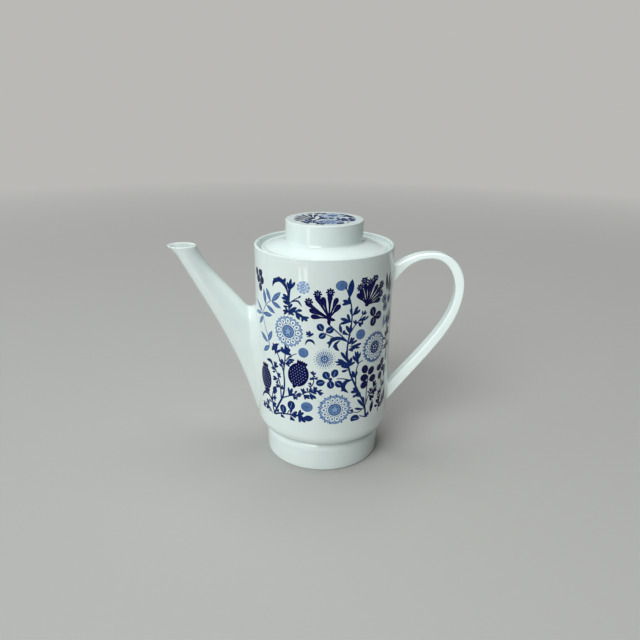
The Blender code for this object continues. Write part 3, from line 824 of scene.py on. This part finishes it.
def middle_field(p):
    """Seed head, roses, clovers and the looped stems between the two main stems."""
    p.seed_head((3.4, 125), ((-12, 135.6), (-9.5, 130.6), (-8.5, 126), (-5, 140), (-1, 139.5), (4, 141.5),
                (8.6, 138.8),
                             (10.6, 134)), ((-10.2, 136), (-4.3, 141.6), (4.1, 143)))
    p.leaves(DARK, (3.2, 125, 3.6, 119.6, 2.6), (3.6, 124.6, 7.8, 123.2, 2.4))
    p.lace((0.8, 95), 7.3, 22, STEEL)
    p.rays((STEEL, PALE), (8.5, 55.5), (12.9, 12.1), 34, 2.0)
    p.looped_rose((8.5, 55.5), 11.5, 14)
    p.disc((11.6, 147.4), 4.1, 3.5)
    p.line(COBALT, (0.6, 0.9), 3.6, 120.5, 8, 116, 13, 111, 17, 106.5)
    p.line(COBALT, (0.5, 0.9), 1.5, 113.5, 8, 110.5, 16, 108)
    p.leaflets(COBALT, 2.7, PALE, (-2.3, 118.4, 125), (4.2, 116.5, 35))
    p.leaflets(COBALT, 2.5, PALE, (-1, 112.3, 215))
    p.leaf(COBALT, (12, 113.6), (10.6, 121), 2.2)
    p.fleurons(COBALT, 0.5, 12.6, 112.4, 14.8, 115.8)
    p.curl(COBALT, 2.9, 16.5, 107, 11, 110.2, 5.4, 108.8, 3.4, 102.8)
    p.leaves(COBALT, (8.0, 109.0, 4.2, 110.6, 2.0, 0.5), (5.4, 107.6, 1.9, 107.0, 2.0, 0.5))
    p.curl(COBALT, 2.6, 11.5, 109, 8.2, 106, 8.6, 103, 11, 100.8)
    p.leaf(COBALT, (9.0, 106.4), (6.2, 103.6), 1.8, 0.5)
    p.line(COBALT, (0.6, 1.0), 9.5, 79.8, 14, 79.4, 19.5, 77.4)
    p.leaflets(COBALT, 2.9, PALE, (2.0, 82.8, 115), (8.0, 84.2, 70), (-2.0, 77, 190), (5.2, 75.4, 285),
           (11.0, 75.6, 320))
    p.oval(COBALT, (5.0, 79.6), 1.4)
    p.curl(COBALT, 3.4, 21.6, 77.6, 16.4, 76.8, 14.2, 72.2, 18.4, 67.6)
    p.leaves(COBALT, (16.2, 75.0, 12.6, 74.4, 2.0, 0.5), (15.4, 71.6, 12.6, 69.8, 2.0, 0.5))


def right_garden(p):
    """The right main stem with its branches, seed head, roses and clovers."""
    p.line(COBALT, (1.6, 0.7), 34, 43, 32, 55, 27, 65.5, 22, 76, 18.3, 86, 16.6, 96, 16.8, 105, 18.6, 116, 19.4, 124,
           18.8, 132, 17, 139.5, 14.4, 146.5)
    p.leaf(COBALT, (17.2, 138), (19, 151.4), 4.4, 0.55)
    for a, b, c, d, wide in ((18.3, 134, 12.8, 137.6, 0.8), (19.5, 125.5, 23.2, 132.2, 0.75),
                             (18.8, 121, 11.4, 125, 0.8), (18.2, 112, 14.8, 118.8, 0.75), (17, 105, 22, 109.4, 0.5),
                             (19, 103.5, 27.4, 104.6, 0.6), (17, 101, 23, 101.5, 0.5), (16.5, 92, 11.5, 99.6, 0.7),
                             (17.2, 90, 8, 93.4, 0.4), (18.2, 86.5, 12, 89.2, 0.8), (17.8, 88, 20.5, 94.8, 0.8),
                             (24, 91, 24, 99, 0.6), (23.6, 78, 21, 84.6, 0.7), (26.4, 66.5, 20, 67.6, 0.9),
                             (28.8, 61.8, 24.6, 66.6, 0.5), (32.2, 52, 25.2, 60.4, 0.75),
                             (33.2, 46, 37.4, 45.6, 0.9)):
        p.fleuron(COBALT, (a, b), (c, d), wide)
    p.line(COBALT, (0.9, 0.5), 18.2, 113, 22, 118.5, 26, 122.5, 29, 127.3)
    p.fleurons(COBALT, 0.8, 22, 118.4, 22.6, 122.4, 24, 120.4, 28.6, 118.6, 26, 122.4, 30.6, 120.8,
           27.6, 124.8, 30, 128)
    p.leaf(COBALT, (30, 121.2), (33.2, 123.4), 1.7)
    p.line(COBALT, (1.0, 0.6), 24, 72, 23.8, 82, 25.6, 89, 29.6, 91)
    p.leaf(COBALT, (25.6, 88), (22.4, 99.6), 2.6)
    p.disc((26.6, 111), 3.8)
    p.seed_head((31, 131.8), ((23, 140.4), (25.5, 143), (29, 146.6), (33, 146), (37, 147.6), (40.6, 144), (44, 141.4),
                              (46, 137.6), (44, 133)),
                ((25.3, 144.6), (28.4, 149.2), (33.4, 147), (38.2, 149.4), (45.2, 143.2), (44.6, 137)))
    p.leaflets(DARK, 3.3, PALE, (37, 125.6, 105), (43, 121.6, 0), (37.6, 118.2, 255))
    p.rays((STEEL,), (40.5, 98.2), (12.3,), 28, 1.9)
    p.looped_rose((40.5, 98.2), 11.3, 13, STEEL, STEEL)
    p.oval(COBALT, (40.5, 98.2), 4.8)
    p.dots(PALE, (40.5, 98.2), 3.3, 10, 0.5)
    p.dots(GLAZE, (40.5, 98.2), 1.6, 5, 0.55)
    p.line(COBALT, (0.9, 0.6), 33.4, 56, 33.6, 65, 34.2, 72, 34.6, 78)
    p.leaflets(DARK, 3.2, COBALT, (31.5, 83.4, 115), (37.6, 80.8, 40), (39.4, 74.2, 0), (31.0, 76.8, 165),
           (31.2, 71.2, 205))
    p.line(DARK, (0.9, 0.6), 33, 54, 36, 61.5, 42, 67)
    p.fleurons(DARK, 0.8, 40.5, 66, 43.5, 71, 37.5, 63, 36.5, 67, 39, 64, 45.5, 62, 36.5, 61.5, 42.4, 58)
    p.line(DARK, (0.7, 0.5), 32.2, 53, 27, 50.4, 21, 52)
    p.leaflets(COBALT, 3.4, PALE, (24, 45.8, 170))
    p.line(COBALT, 0.8, 33.5, 44.5, 28, 47)
    p.fleurons(COBALT, 0.7, 22.6, 51.2, 19.6, 53.6)
    p.veined(DARK, COBALT, (38.5, 46, 40.5, 56, 3.6))
    p.leaflets(DARK, 2.9, COBALT, (47, 80, 180), (51.2, 83.4, 60), (53, 77.6, 350), (48.6, 73, 260))
    for at in ((50, 131.6), (51.4, 125.6), (57.6, 130)):
        p.fringed_rose(at, 3.6, 9, COBALT, STEEL, GLAZE, False)
    p.leaves(STEEL, (50, 109, 50.8, 120, 3.0, 0.5, 0.0, PALE), (51, 112, 57.4, 117, 3.0, 0.5, 0.0, PALE))
    p.line(DARK, (1.0, 0.6), 57.5, 88, 56, 98, 56.5, 108, 55, 116)
    p.fleurons(DARK, 0.9, 56.1, 100, 52.8, 105.6, 56.3, 103, 60.6, 107.4, 56.3, 94, 60.6, 97.4, 56.7, 92, 53.2, 96.2,
           55.3, 113, 58.9, 118)
    p.line(DARK, (1.0, 0.6), 47, 43, 50, 54, 52, 62, 50, 70)
    p.fleurons(DARK, 0.9, 49.6, 52.6, 46.2, 56.4, 51, 58, 46.6, 61, 51.8, 63, 55.6, 67, 48, 47, 51.6, 49.6,
           48.4, 49, 44.4, 54)
    p.leaves(DARK, (52.0, 45.4, 54.0, 56.2, 2.3), (54.8, 46.2, 56.4, 58.2, 2.3), (57.2, 48.6, 58.0, 60.4, 2.1))
    p.leaves(COBALT, (55.0, 69, 56.6, 80.6, 3.4, 0.5, 0.0, STEEL), (56.4, 108, 59.4, 121.6, 3.2, 0.5, 0.0, STEEL))
    p.leaves(DARK, (53.6, 136.6, 52.2, 150.4, 3.4), (56.0, 135.6, 58.2, 149.6, 3.5), (58.0, 133.4, 62.4, 144.6, 3.3),
           (60.4, 109, 63.2, 122, 3.2), (57.0, 81, 57.6, 91, 2.4))


def garden():
    p = Print()
    left_sky(p)
    left_garden(p)
    middle_field(p)
    right_garden(p)
    return p.shapes


def wall_print():
    """The printed half of the wall, unrolled: points (u, z), triangles and their inks."""
    us = np.linspace(-HALF_TURN, HALF_TURN, COLUMNS // 2 + 1)
    zs = np.linspace(BAND_LOW, BAND_HIGH, 44)
    count = len(us)
    grid = [(u, z) for z in zs for u in us]
    top = (len(zs) - 1) * count
    edges = [(i, i + 1) for i in range(count - 1)] + [(top + i, top + i + 1) for i in range(count - 1)]
    for k in range(len(zs) - 1):
        edges += [(k * count, (k + 1) * count), (k * count + count - 1, (k + 1) * count + count - 1)]

    for z in (PRINT_LOW, PRINT_HIGH):
        edges += [(len(grid) + i, len(grid) + i + 1) for i in range(count - 1)]
        grid += [(u, z) for u in us]

    def keep(c):
        return (c[:, 1] > PRINT_LOW) & (c[:, 1] < PRINT_HIGH)

    return inlaid(garden(), grid, edges, keep)


def knob_print(flat_r):
    """The knob's flat top: points (x, y), triangles and inks, with the print kept in a disc."""
    turn = np.arange(KNOB_COLUMNS) * math.tau / KNOB_COLUMNS - math.pi / 2
    rim = [(flat_r * math.sin(t), -flat_r * math.cos(t)) for t in turn]
    edges = [(i, (i + 1) % KNOB_COLUMNS) for i in range(KNOB_COLUMNS)]
    inner = [(r * math.cos(t), r * math.sin(t)) for r, n in ((22, 60), (16, 40), (10, 26), (4, 10))
             for t in np.arange(n) * math.tau / n]
    p = Print()
    p.oval(GLAZE, (0, 0), KNOB_PRINT_R, sides=72)
    p.looped_rose((6, 12), 9.5, 10)
    p.oval(STEEL, (6, 12), 3.6)
    p.fringed_rose((4, -12.5), 9.0, 15)
    p.seed_head((-8, -1), ((-22, -3), (-21, 2), (-19, 7), (-15.5, 11.5), (-11, 14.5), (-6, 15.5), (-20.5, -8.5),
                (-16, -13)),
                ((-21.5, 9), (-17.5, 14.5), (-11.5, 18.5), (-5, 20)))
    p.line(COBALT, (2.2, 1.4), -16, -18, -9, -10, -4, -3, -2.6, 5, -4.5, 11)
    p.line(COBALT, (2.0, 1.4), 24, -6, 17, -3.4, 10, -2, 2, -1, -4, -3)
    p.fleurons(COBALT, 1.0, -12, -13, -11, -20, -9, -9, -4.5, -19, -9, -9, -14, -6, -3, -1, 2.5, 3, 15, -3, 17.5, -10,
           17, -3.4, 22.5, 1.5, 11, -2.4, 14, 3.5, 10, -2, 13.5, -7.5, 14, -19, 17, -13, -5, -17, -1, -22.5,
           19, -4, 22.5, -9, 3, -1, 7, 2.4, -3.6, 18, 0.5, 22.5, 15.4, 12, 18.5, 6.8)
    p.leaflets(DARK, 3.4, COBALT, (18.2, 13.0, 40), (20.2, 7.4, 0), (14.6, 18.0, 80), (11.5, -19.0, 300))
    def keep(c):
        return np.hypot(c[:, 0], c[:, 1]) < KNOB_PRINT_R
    return inlaid(p.shapes, rim + inner, edges, keep)


PRINT_LOW, PRINT_HIGH = 44.0, 151.3
KNOB_PRINT_R = 22.4
KNOB_COLUMNS = 128


def build_vessel():
    skin = Skin()
    skin.loft(turned(vessel_profile()))
    points, triangles, kinds = wall_print()
    for back in (0.0, math.pi):
        phi = points[:, 0] / R + back
        skin.add(np.stack([R * np.sin(phi), -R * np.cos(phi), points[:, 1]], 1), triangles, kinds)
    obj = skin.solid("vessel_shell", inks)
    cut(obj, strainer_and_notch())

    def wall_normals(p):
        reach = np.hypot(p[:, 0], p[:, 1])
        on_wall = (abs(reach - R) < 0.02) & (p[:, 2] > BAND_LOW - 0.01) & (p[:, 2] < BAND_HIGH + 0.01)
        exact = np.stack([p[:, 0], p[:, 1], 0 * reach], 1) / np.maximum(reach, 1e-6)[:, None]
        return on_wall, exact

    finish_piece(obj, "pot", "vessel_body", wall_normals)


def build_foot():
    bore, ring, sole = FOOT_R - 3.3, FOOT_R - 1.2, 1.8
    profile = [(0.0, 5.6)] + rounded([(0.0, 5.6, 0), (bore, 5.6, 4.0), (bore, CREASE_LOW, 0)], 8)[1:]
    profile += [(FOOT_R, CREASE_LOW), (FOOT_R, 16.0), (FOOT_R, 8.0)]
    profile += rounded([(FOOT_R, 6.0, 0), (FOOT_R, 0.9, 1.4), (ring, 0.0, 0.6), (ring - 2.0, 0.0, 0)], 5)
    bare_from = len(profile) - 4
    profile += rounded([(ring - 2.0, 0.0, 0), (ring - 3.7, 0.0, 0.5), (ring - 5.3, sole, 1.2),
                       (30.0, sole, 0)], 5)[1:]
    bare_to = len(profile) - 12
    profile += [(15.0, sole), (0.0, sole)]
    kinds = [int(bare_from <= k < bare_to) for k in range(len(profile) - 1)]
    turned_piece("foot_shell", profile, "pot", "foot", [glaze, bisque], kinds)


# ---------------------------------------------------------------- spout

def spout_lines(inset_root, inset_mouth, sides, stations=240):
    """Lines from root to mouth over the spout's oval skin, moved inwards by the inset."""
    knee, flare = (51.8, 29.6), (106.0, 152.5)
    lower = np.vstack([
        bezier(((44.0, 24.8), (48.0, 24.8), (50.4, 25.9), knee), 24),
        bezier((knee, (63.6, 72.2), (68.5, 83.9), flare), 150)[1:],
        bezier((flare, (108.0, 156.2), (111.0, 159.4), (SPOUT_TIP, MOUTH)), 40)[1:]])
    upper = bezier(((42.4, 98.5), (74.4, 137.0), (90.5, 148.6), (92.8, MOUTH)), 200)
    share = np.linspace(0, 1, stations)
    lower_at = np.interp(share, [0.0, 3 / 17, 14 / 17, 1.0], [0.0, 24, 174, 214])
    low = np.stack([np.interp(lower_at, np.arange(215), lower[:, k]) for k in (0, 1)], 1)
    high = np.stack([np.interp(share * 200, np.arange(201), upper[:, k]) for k in (0, 1)], 1)
    middle, half = (low + high) / 2, (high - low) / 2
    inset = inset_root + (inset_mouth - inset_root) * share
    half = half * (1 - inset / np.linalg.norm(half, axis=1))[:, None]
    wide = 9.4 + 6.6 * (1 - share) ** 2 - inset
    angle = np.arange(sides) * math.tau / sides
    plane = middle[None] + half[None] * np.cos(angle)[:, None, None]
    across = wide[None] * np.sin(angle)[:, None]
    return np.stack([-plane[..., 0], across, plane[..., 1]], -1)


def between(line, start, end, steps):
    """Points of a dense line at evenly spaced stations."""
    return np.array([along(line, start + (end - start) * s) for s in steps])


def build_spout():
    sides = 72
    up = (1 + np.cos(np.arange(sides) * math.tau / sides)) / 2
    outer = spout_lines(0.0, 0.0, sides)
    root_wall, mouth_wall = 2.4, 1.9
    inner = spout_lines(root_wall, mouth_wall, sides)
    eased, ends, wall, wall_normal = root_blend(outer, 1.6 + 10.4 * up ** 1.4, 1.2 + 10.3 * up ** 1.2, 16)
    last = outer.shape[1] - 1
    rings = []
    for i, gap in enumerate(to_outside(inner)[0]):
        lip = np.linalg.norm(outer[i, -1] - inner[i, -1]) / 2
        outer_end, inner_end = (last - travel(line[i, ::-1], 0.0, lip) for line in (outer, inner))
        a, b = along(outer[i], outer_end), along(inner[i], inner_end)
        mid, half = (a + b) / 2, (a - b) / 2
        forward = (outer[i, -1] - a) + (inner[i, -1] - b)
        forward = forward / np.linalg.norm(forward) * lip
        edge = [mid + half * math.cos(t) + forward * math.sin(t) for t in np.linspace(0, math.pi, 11)[1:]]
        inner_start = float(np.max(np.nonzero(gap < 0)[0]))
        rings.append(np.vstack([
            eased[i], between(outer[i], ends[i], outer_end, np.linspace(0, 1, 56)[1:]), edge,
            between(inner[i], inner_end, inner_start, np.linspace(0, 1, 40)[1:])]))
    rings = np.array(rings).transpose(1, 0, 2)
    rings[:, :, 2] = np.minimum(rings[:, :, 2], MOUTH)
    rings[:, :, 0] = np.maximum(rings[:, :, 0], -SPOUT_TIP)
    skin = Skin()
    skin.loft(rings, wrap=True)
    obj = skin.solid("spout_shell", [glaze])
    finish_piece(obj, "pot", "spout", root_normals(wall, wall_normal), 0.3)


def root_normals(*pairs):
    """Makes the normals at a root's outer edge those of the wall, so that the blend doesn't show."""
    wall = np.vstack(pairs[0::2])
    normal = np.vstack(pairs[1::2])

    def exact(p):
        gap = np.linalg.norm(p[:, None] - wall[None], axis=2)
        best = gap.argmin(1)
        return gap[np.arange(len(p)), best] < 0.01, normal[best]
    return exact


# ---------------------------------------------------------------- handle

def strap_section(half_thick, half_wide, radius=1.3):
    """Rounded rectangle: (across the strap's thickness, across its width), the same count for all."""
    radius = min(radius, half_thick * 0.92)
    points = []
    for cx, cy, start in ((1, 1, 0), (-1, 1, 90), (-1, -1, 180), (1, -1, 270)):
        points += arc((cx * (half_thick - radius), cy * (half_wide - radius)), (radius, radius), start, start + 90, 6)
    dense = []
    for k, a in enumerate(points):
        b = points[(k + 1) % len(points)]
        dense.append(a)
        if k % 7 == 6:
            steps = 6 if k in (6, 20) else 8
            dense += [(a[0] + (b[0] - a[0]) * i / steps, a[1] + (b[1] - a[1]) * i / steps) for i in range(1, steps)]
    return dense


def measured(line, count):
    """Evenly spaced points on a flat polyline."""
    step = np.concatenate([[0], np.cumsum(np.linalg.norm(np.diff(line, axis=0), axis=1))])
    at = np.linspace(0, step[-1], count)
    return np.stack([np.interp(at, step, line[:, 0]), np.interp(at, step, line[:, 1])], 1)


def chain(first, *parts):
    """Cubic curves end to end; every part holds the two controls, the end and the number of steps."""
    lines, start = [], first
    for a, b, end, steps in parts:
        lines.append(bezier((start, a, b, end), steps)[bool(lines):])
        start = end
    return np.vstack(lines)


def build_handle():
    top, stations = 158.6, 260
    inner_bow, inner_top = BOW - 6.7, top - 4.4
    outer = chain((38.0, 132.6), ((40.0, 136.6), (43.0, 141.6), (45.0, 145.1), 12),
                  ((55.5, 151.6), (63.7, top), (80.1, top), 60), ((96.5, top), (BOW, 143.8), (BOW, 132.3), 60),
                  ((BOW, 99.4), (77.6, 78.1), (45.0, 31.0), 160), ((43.2, 28.4), (41.6, 25.8), (40.0, 23.0), 10))
    inner = chain((38.0, 120.0), ((40.0, 123.0), (42.5, 126.0), (45.0, 128.5), 12),
                  ((55.6, 139.3), (59.8, inner_top), (78.3, inner_top), 60),
                  ((90.7, inner_top), (inner_bow, 140.7), (inner_bow, 129.0), 60),
                  ((inner_bow, 99.9), (57.7, 66.6), (45.0, 43.5), 150), ((43.6, 41.0), (42.4, 38.4), (41.0, 35.0),
                  10))
    middle = (measured(outer, stations) + measured(inner, stations)) / 2
    for _ in range(6):
        middle = measured((nearest(outer, middle)[0] + nearest(inner, middle)[0]) / 2, stations)
    high, low = nearest(outer, middle)[0], nearest(inner, middle)[0]
    lines = []
    for share, a, b in zip(np.linspace(0, 1, stations), high, low):
        mid, half = (a + b) / 2, (a - b) / 2
        thick = np.linalg.norm(half)
        unit = half / thick
        wide = (STRAP / 2 + 1.2 * math.exp(-((share - 0.02) / 0.05) ** 2)
                - 0.35 * math.exp(-((share - 0.45) / 0.2) ** 2))
        lines.append([(mid[0] + unit[0] * x, y, mid[1] + unit[1] * x) for x, y in strap_section(thick, wide)])
    lines = np.array(lines).transpose(1, 0, 2)
    side = abs(np.array(strap_section(2.5, STRAP / 2))[:, 1]) / (STRAP / 2)
    upper_reach = 4.6 - 1.2 * side
    upper, upper_end, *upper_wall = root_blend(lines, upper_reach * 1.2, upper_reach, 12)
    lower_reach = np.full(len(lines), 2.2)
    lower, lower_end, *lower_wall = root_blend(lines[:, ::-1], lower_reach, lower_reach * 0.9, 10)
    lower_end = stations - 1 - lower_end
    rings = np.array([
        np.vstack([upper[i], between(line, upper_end[i], lower_end[i], np.linspace(0, 1, 131)[1:-1]), lower[i][::-1]])
        for i, line in enumerate(lines)]).transpose(1, 0, 2)
    rings[:, :, 0] = np.minimum(rings[:, :, 0], BOW)
    skin = Skin()
    skin.loft(rings)
    sides = rings.shape[1]
    for ring in (rings[0], rings[-1]):
        skin.add(np.vstack([ring, ring.mean(0)]), [(i, (i + 1) % sides, sides) for i in range(sides)],
                 [GLAZE] * sides)
    normals = root_normals(*upper_wall, *lower_wall)
    finish_piece(skin.solid("handle_shell", [glaze]), "pot", "handle", normals, 0.3)


# ---------------------------------------------------------------- lid

def build_lid():
    edge_top = RIM - 1.9
    under = SEAT + 0.3
    opening = 24.0
    groove = LID_R - 3.0
    knob_seat = KNOB_R + 0.6
    rise = LID_CROWN - (edge_top - 0.3)
    profile = [(opening, LID_CROWN), (knob_seat, LID_CROWN)]
    for s in np.linspace(0, 1, 15)[1:]:
        profile.append((knob_seat + (groove - knob_seat) * s, LID_CROWN - rise * s ** 1.15))
    profile += arc((LID_R - 1.1, edge_top - 1.1), (1.1, 1.1), 120, 0, 10)
    profile += [(LID_R, under + 0.5), (LID_R - 0.5, under), (FLANGE_R - 3.8, under), (opening, LID_CROWN - 3.3)]
    turned_piece("lid_shell", profile, "lid", "lid_plate", [glaze], wrap=True)

    wall = 2.8
    low = FLANGE_LOW
    profile = rounded([(FLANGE_R - wall, SEAT - 0.2, 0.3), (FLANGE_R - wall, low, 1.35), (FLANGE_R, low, 1.35),
                       (FLANGE_R, SEAT - 0.2, 0.3)], 6)
    profile = [(FLANGE_R - wall, SEAT + 0.25)] + profile[1:-1] + [(FLANGE_R, SEAT + 0.25)]
    turned_piece("lid_collar", profile, "lid", "lid_flange", [thin_glaze], wrap=True)

    top_round = 0.7
    inner = KNOB_R - 3.0
    ceiling = KNOB_TOP - 3.0
    flat_r = KNOB_R - top_round
    profile = arc((flat_r, KNOB_TOP - top_round), (top_round, top_round), 90, 0, 7)
    profile += [(KNOB_R, z) for z in np.linspace(KNOB_TOP - 2.0, LID_CROWN + 2.2, 7)]
    profile += arc((KNOB_R + 2.5, LID_CROWN + 2.2), (2.5, 2.62), 180, 262, 9)
    profile += [(KNOB_R + 2.3, LID_CROWN - 0.8), (inner, LID_CROWN - 0.8)]
    profile += [(inner, LID_CROWN + 4.0)] + arc((inner - 2.0, ceiling - 2.0), (2.0, 2.0), 0, 90, 6)
    profile += [(12.0, ceiling), (0.0, ceiling)]
    skin = Skin()
    skin.loft(turned(profile, KNOB_COLUMNS))
    points, triangles, kinds = knob_print(flat_r)
    skin.add(np.stack([points[:, 0], points[:, 1], np.full(len(points), KNOB_TOP)], 1), triangles, kinds)

    def top_normals(p):
        on_top = (p[:, 2] > KNOB_TOP - 0.001) & (np.hypot(p[:, 0], p[:, 1]) < flat_r + 0.01)
        return on_top, np.tile((0.0, 0.0, 1.0), (len(p), 1))

    finish_piece(skin.solid("knob_shell", inks), "lid", "lid_knob", top_normals)

    low, high = [np.array(corner) / MM for corner in (lug_low, lug_high)]
    low[0] -= AXIS_X / MM + 0.35
    high[0] -= AXIS_X / MM
    bm = bmesh.new()
    for v in box_points(bm, low, high):
        if v.co.z < (low[2] + high[2]) / 2 and v.co.x > low[0] + 1:
            v.co.z += 0.7
    bmesh.ops.bevel(bm, geom=bm.edges[:], offset=0.75, segments=5, profile=0.5, affect="EDGES")
    skin = Skin()
    bm.verts.index_update()
    skin.add([tuple(v.co) for v in bm.verts], [[v.index for v in f.verts] for f in bm.faces], [GLAZE] * len(bm.faces))
    bm.free()
    finish_piece(skin.solid("lid_tab", [thin_glaze]), "lid", "lid_lug")


build_vessel()
build_foot()
build_spout()
build_handle()
build_lid()


# ---------------------------------------------------------------- stage, light and camera

BACKDROP = (0.49, 0.485, 0.47, 1.0)


def mixed_by(tree, factor, first, second, output):
    """Mixes two shaders by a factor into the tree's output."""
    made = node(tree, "MixShader")
    for k, value in enumerate((factor, first, second)):
        feed(tree, made.inputs[k], value.outputs[0] if k else value)
    feed(tree, tree.nodes[output].inputs["Surface"], made.outputs[0])


def build_stage():
    """Plain round floor; for the camera its far part fades into the even backdrop."""
    bm = bmesh.new()
    bmesh.ops.create_circle(bm, cap_ends=True, segments=96, radius=8.0)
    mesh = bpy.data.meshes.new("stage_floor")
    bm.to_mesh(mesh)
    bm.free()
    material, tree, shader = new_material(
        "stage_pale", Base_Color=(0.48, 0.465, 0.445), Roughness=0.55, Specular_IOR_Level=0.25)
    away = node(tree, "VectorMath", Vector=node(tree, "TexCoord").outputs["Object"])
    away.operation = "LENGTH"
    far = ranged(tree, away.outputs["Value"], 0.35, 1.7, 0.0, 1.0)
    fade = times(tree, far, node(tree, "LightPath").outputs["Is Camera Ray"])
    mixed_by(tree, fade, shader, node(tree, "Emission", Color=BACKDROP), "Material Output")
    mesh.materials.append(material)
    link("stage_floor", mesh)


def area_light(name, at, aim, size, power, color):
    light = bpy.data.lights.new(name, "AREA")
    light.shape = "RECTANGLE"
    light.size, light.size_y = size
    light.energy = power
    light.color = color
    obj = link(name, light)
    obj.location = at
    obj.rotation_euler = (Vector(aim) - Vector(at)).to_track_quat("-Z", "Y").to_euler()
    obj.visible_camera = False
    return obj


def build_lights():
    """A window in front, softer light from the left and above, and three small panes that are seen only as
    streaks in the glaze.  The accent light shines on the handle alone."""
    aim, day, high = (0.0, 0.0, 0.09), (0.95, 1.0, 0.99), (0.97, 1.0, 1.0)
    area_light("window_front", (-1.25, -2.15, 2.1), aim, (1.8, 1.8), 70.0, day)
    area_light("window_left", (-2.4, -0.25, 1.2), aim, (1.6, 2.0), 5.8, day)
    area_light("overhead", (0.12, 0.2, 1.5), aim, (0.8, 0.8), 8.5, (0.97, 1.0, 0.99))
    for name, at, size, strength in (("pane_left", (-0.174, -0.250, 0.072), (0.020, 0.030), 11.0),
                                     ("pane_right", (-0.137, -0.277, 0.072), (0.034, 0.030), 11.0),
                                     ("pane_knob", (-0.197, -0.202, 0.118), (0.044, 0.034), 7.0)):
        pane = area_light(name, at, (0, 0, at[2] + 0.07), size, strength * size[0] * size[1], (1, 1, 1))
        pane.visible_diffuse = False
    accent = area_light("accent", (-0.15, -2.1, 0.95), (0.085, 0.0, 0.1), (0.7, 0.7), 17.0, high)
    lit = bpy.data.collections.new("accent_pieces")
    lit.objects.link(bpy.data.objects["handle_shell"])
    accent.light_linking.receiver_collection = lit


def build_world():
    """Sky light that falls off from the left to the right; the camera sees the even backdrop instead."""
    world = bpy.data.worlds.new("studio")
    bpy.context.scene.world = world
    world.use_nodes = True
    tree = world.node_tree
    heading = node(tree, "SeparateXYZ", Vector=node(tree, "TexCoord").outputs["Generated"])
    sky = tree.nodes["Background"]
    feed(tree, sky.inputs["Color"], (0.84, 0.90, 0.94))
    feed(tree, sky.inputs["Strength"], ranged(tree, heading.outputs["X"], -0.7, 0.7, 0.50, 0.0))
    seen = node(tree, "LightPath").outputs["Is Camera Ray"]
    mixed_by(tree, seen, sky, node(tree, "Background", Color=BACKDROP), "World Output")
    bpy.context.scene.view_settings.view_transform = "Standard"


def build_camera():
    """The camera of the photo, solved from the circles of rim, knob and foot."""
    down, roll = math.radians(20.58), 0.0095
    data = bpy.data.cameras.new("camera")
    data.lens = 32.34
    data.sensor_width = 36.0
    data.clip_start = 0.01
    camera = link("camera", data)
    turn = Matrix.Rotation(math.radians(90) - down, 4, "X") @ Matrix.Rotation(roll, 4, "Z")
    camera.matrix_world = Matrix.Translation((AXIS_X - 0.0026, -0.4096, 0.2585)) @ turn
    bpy.context.scene.camera = camera


build_stage()
build_lights()
build_world()
build_camera()
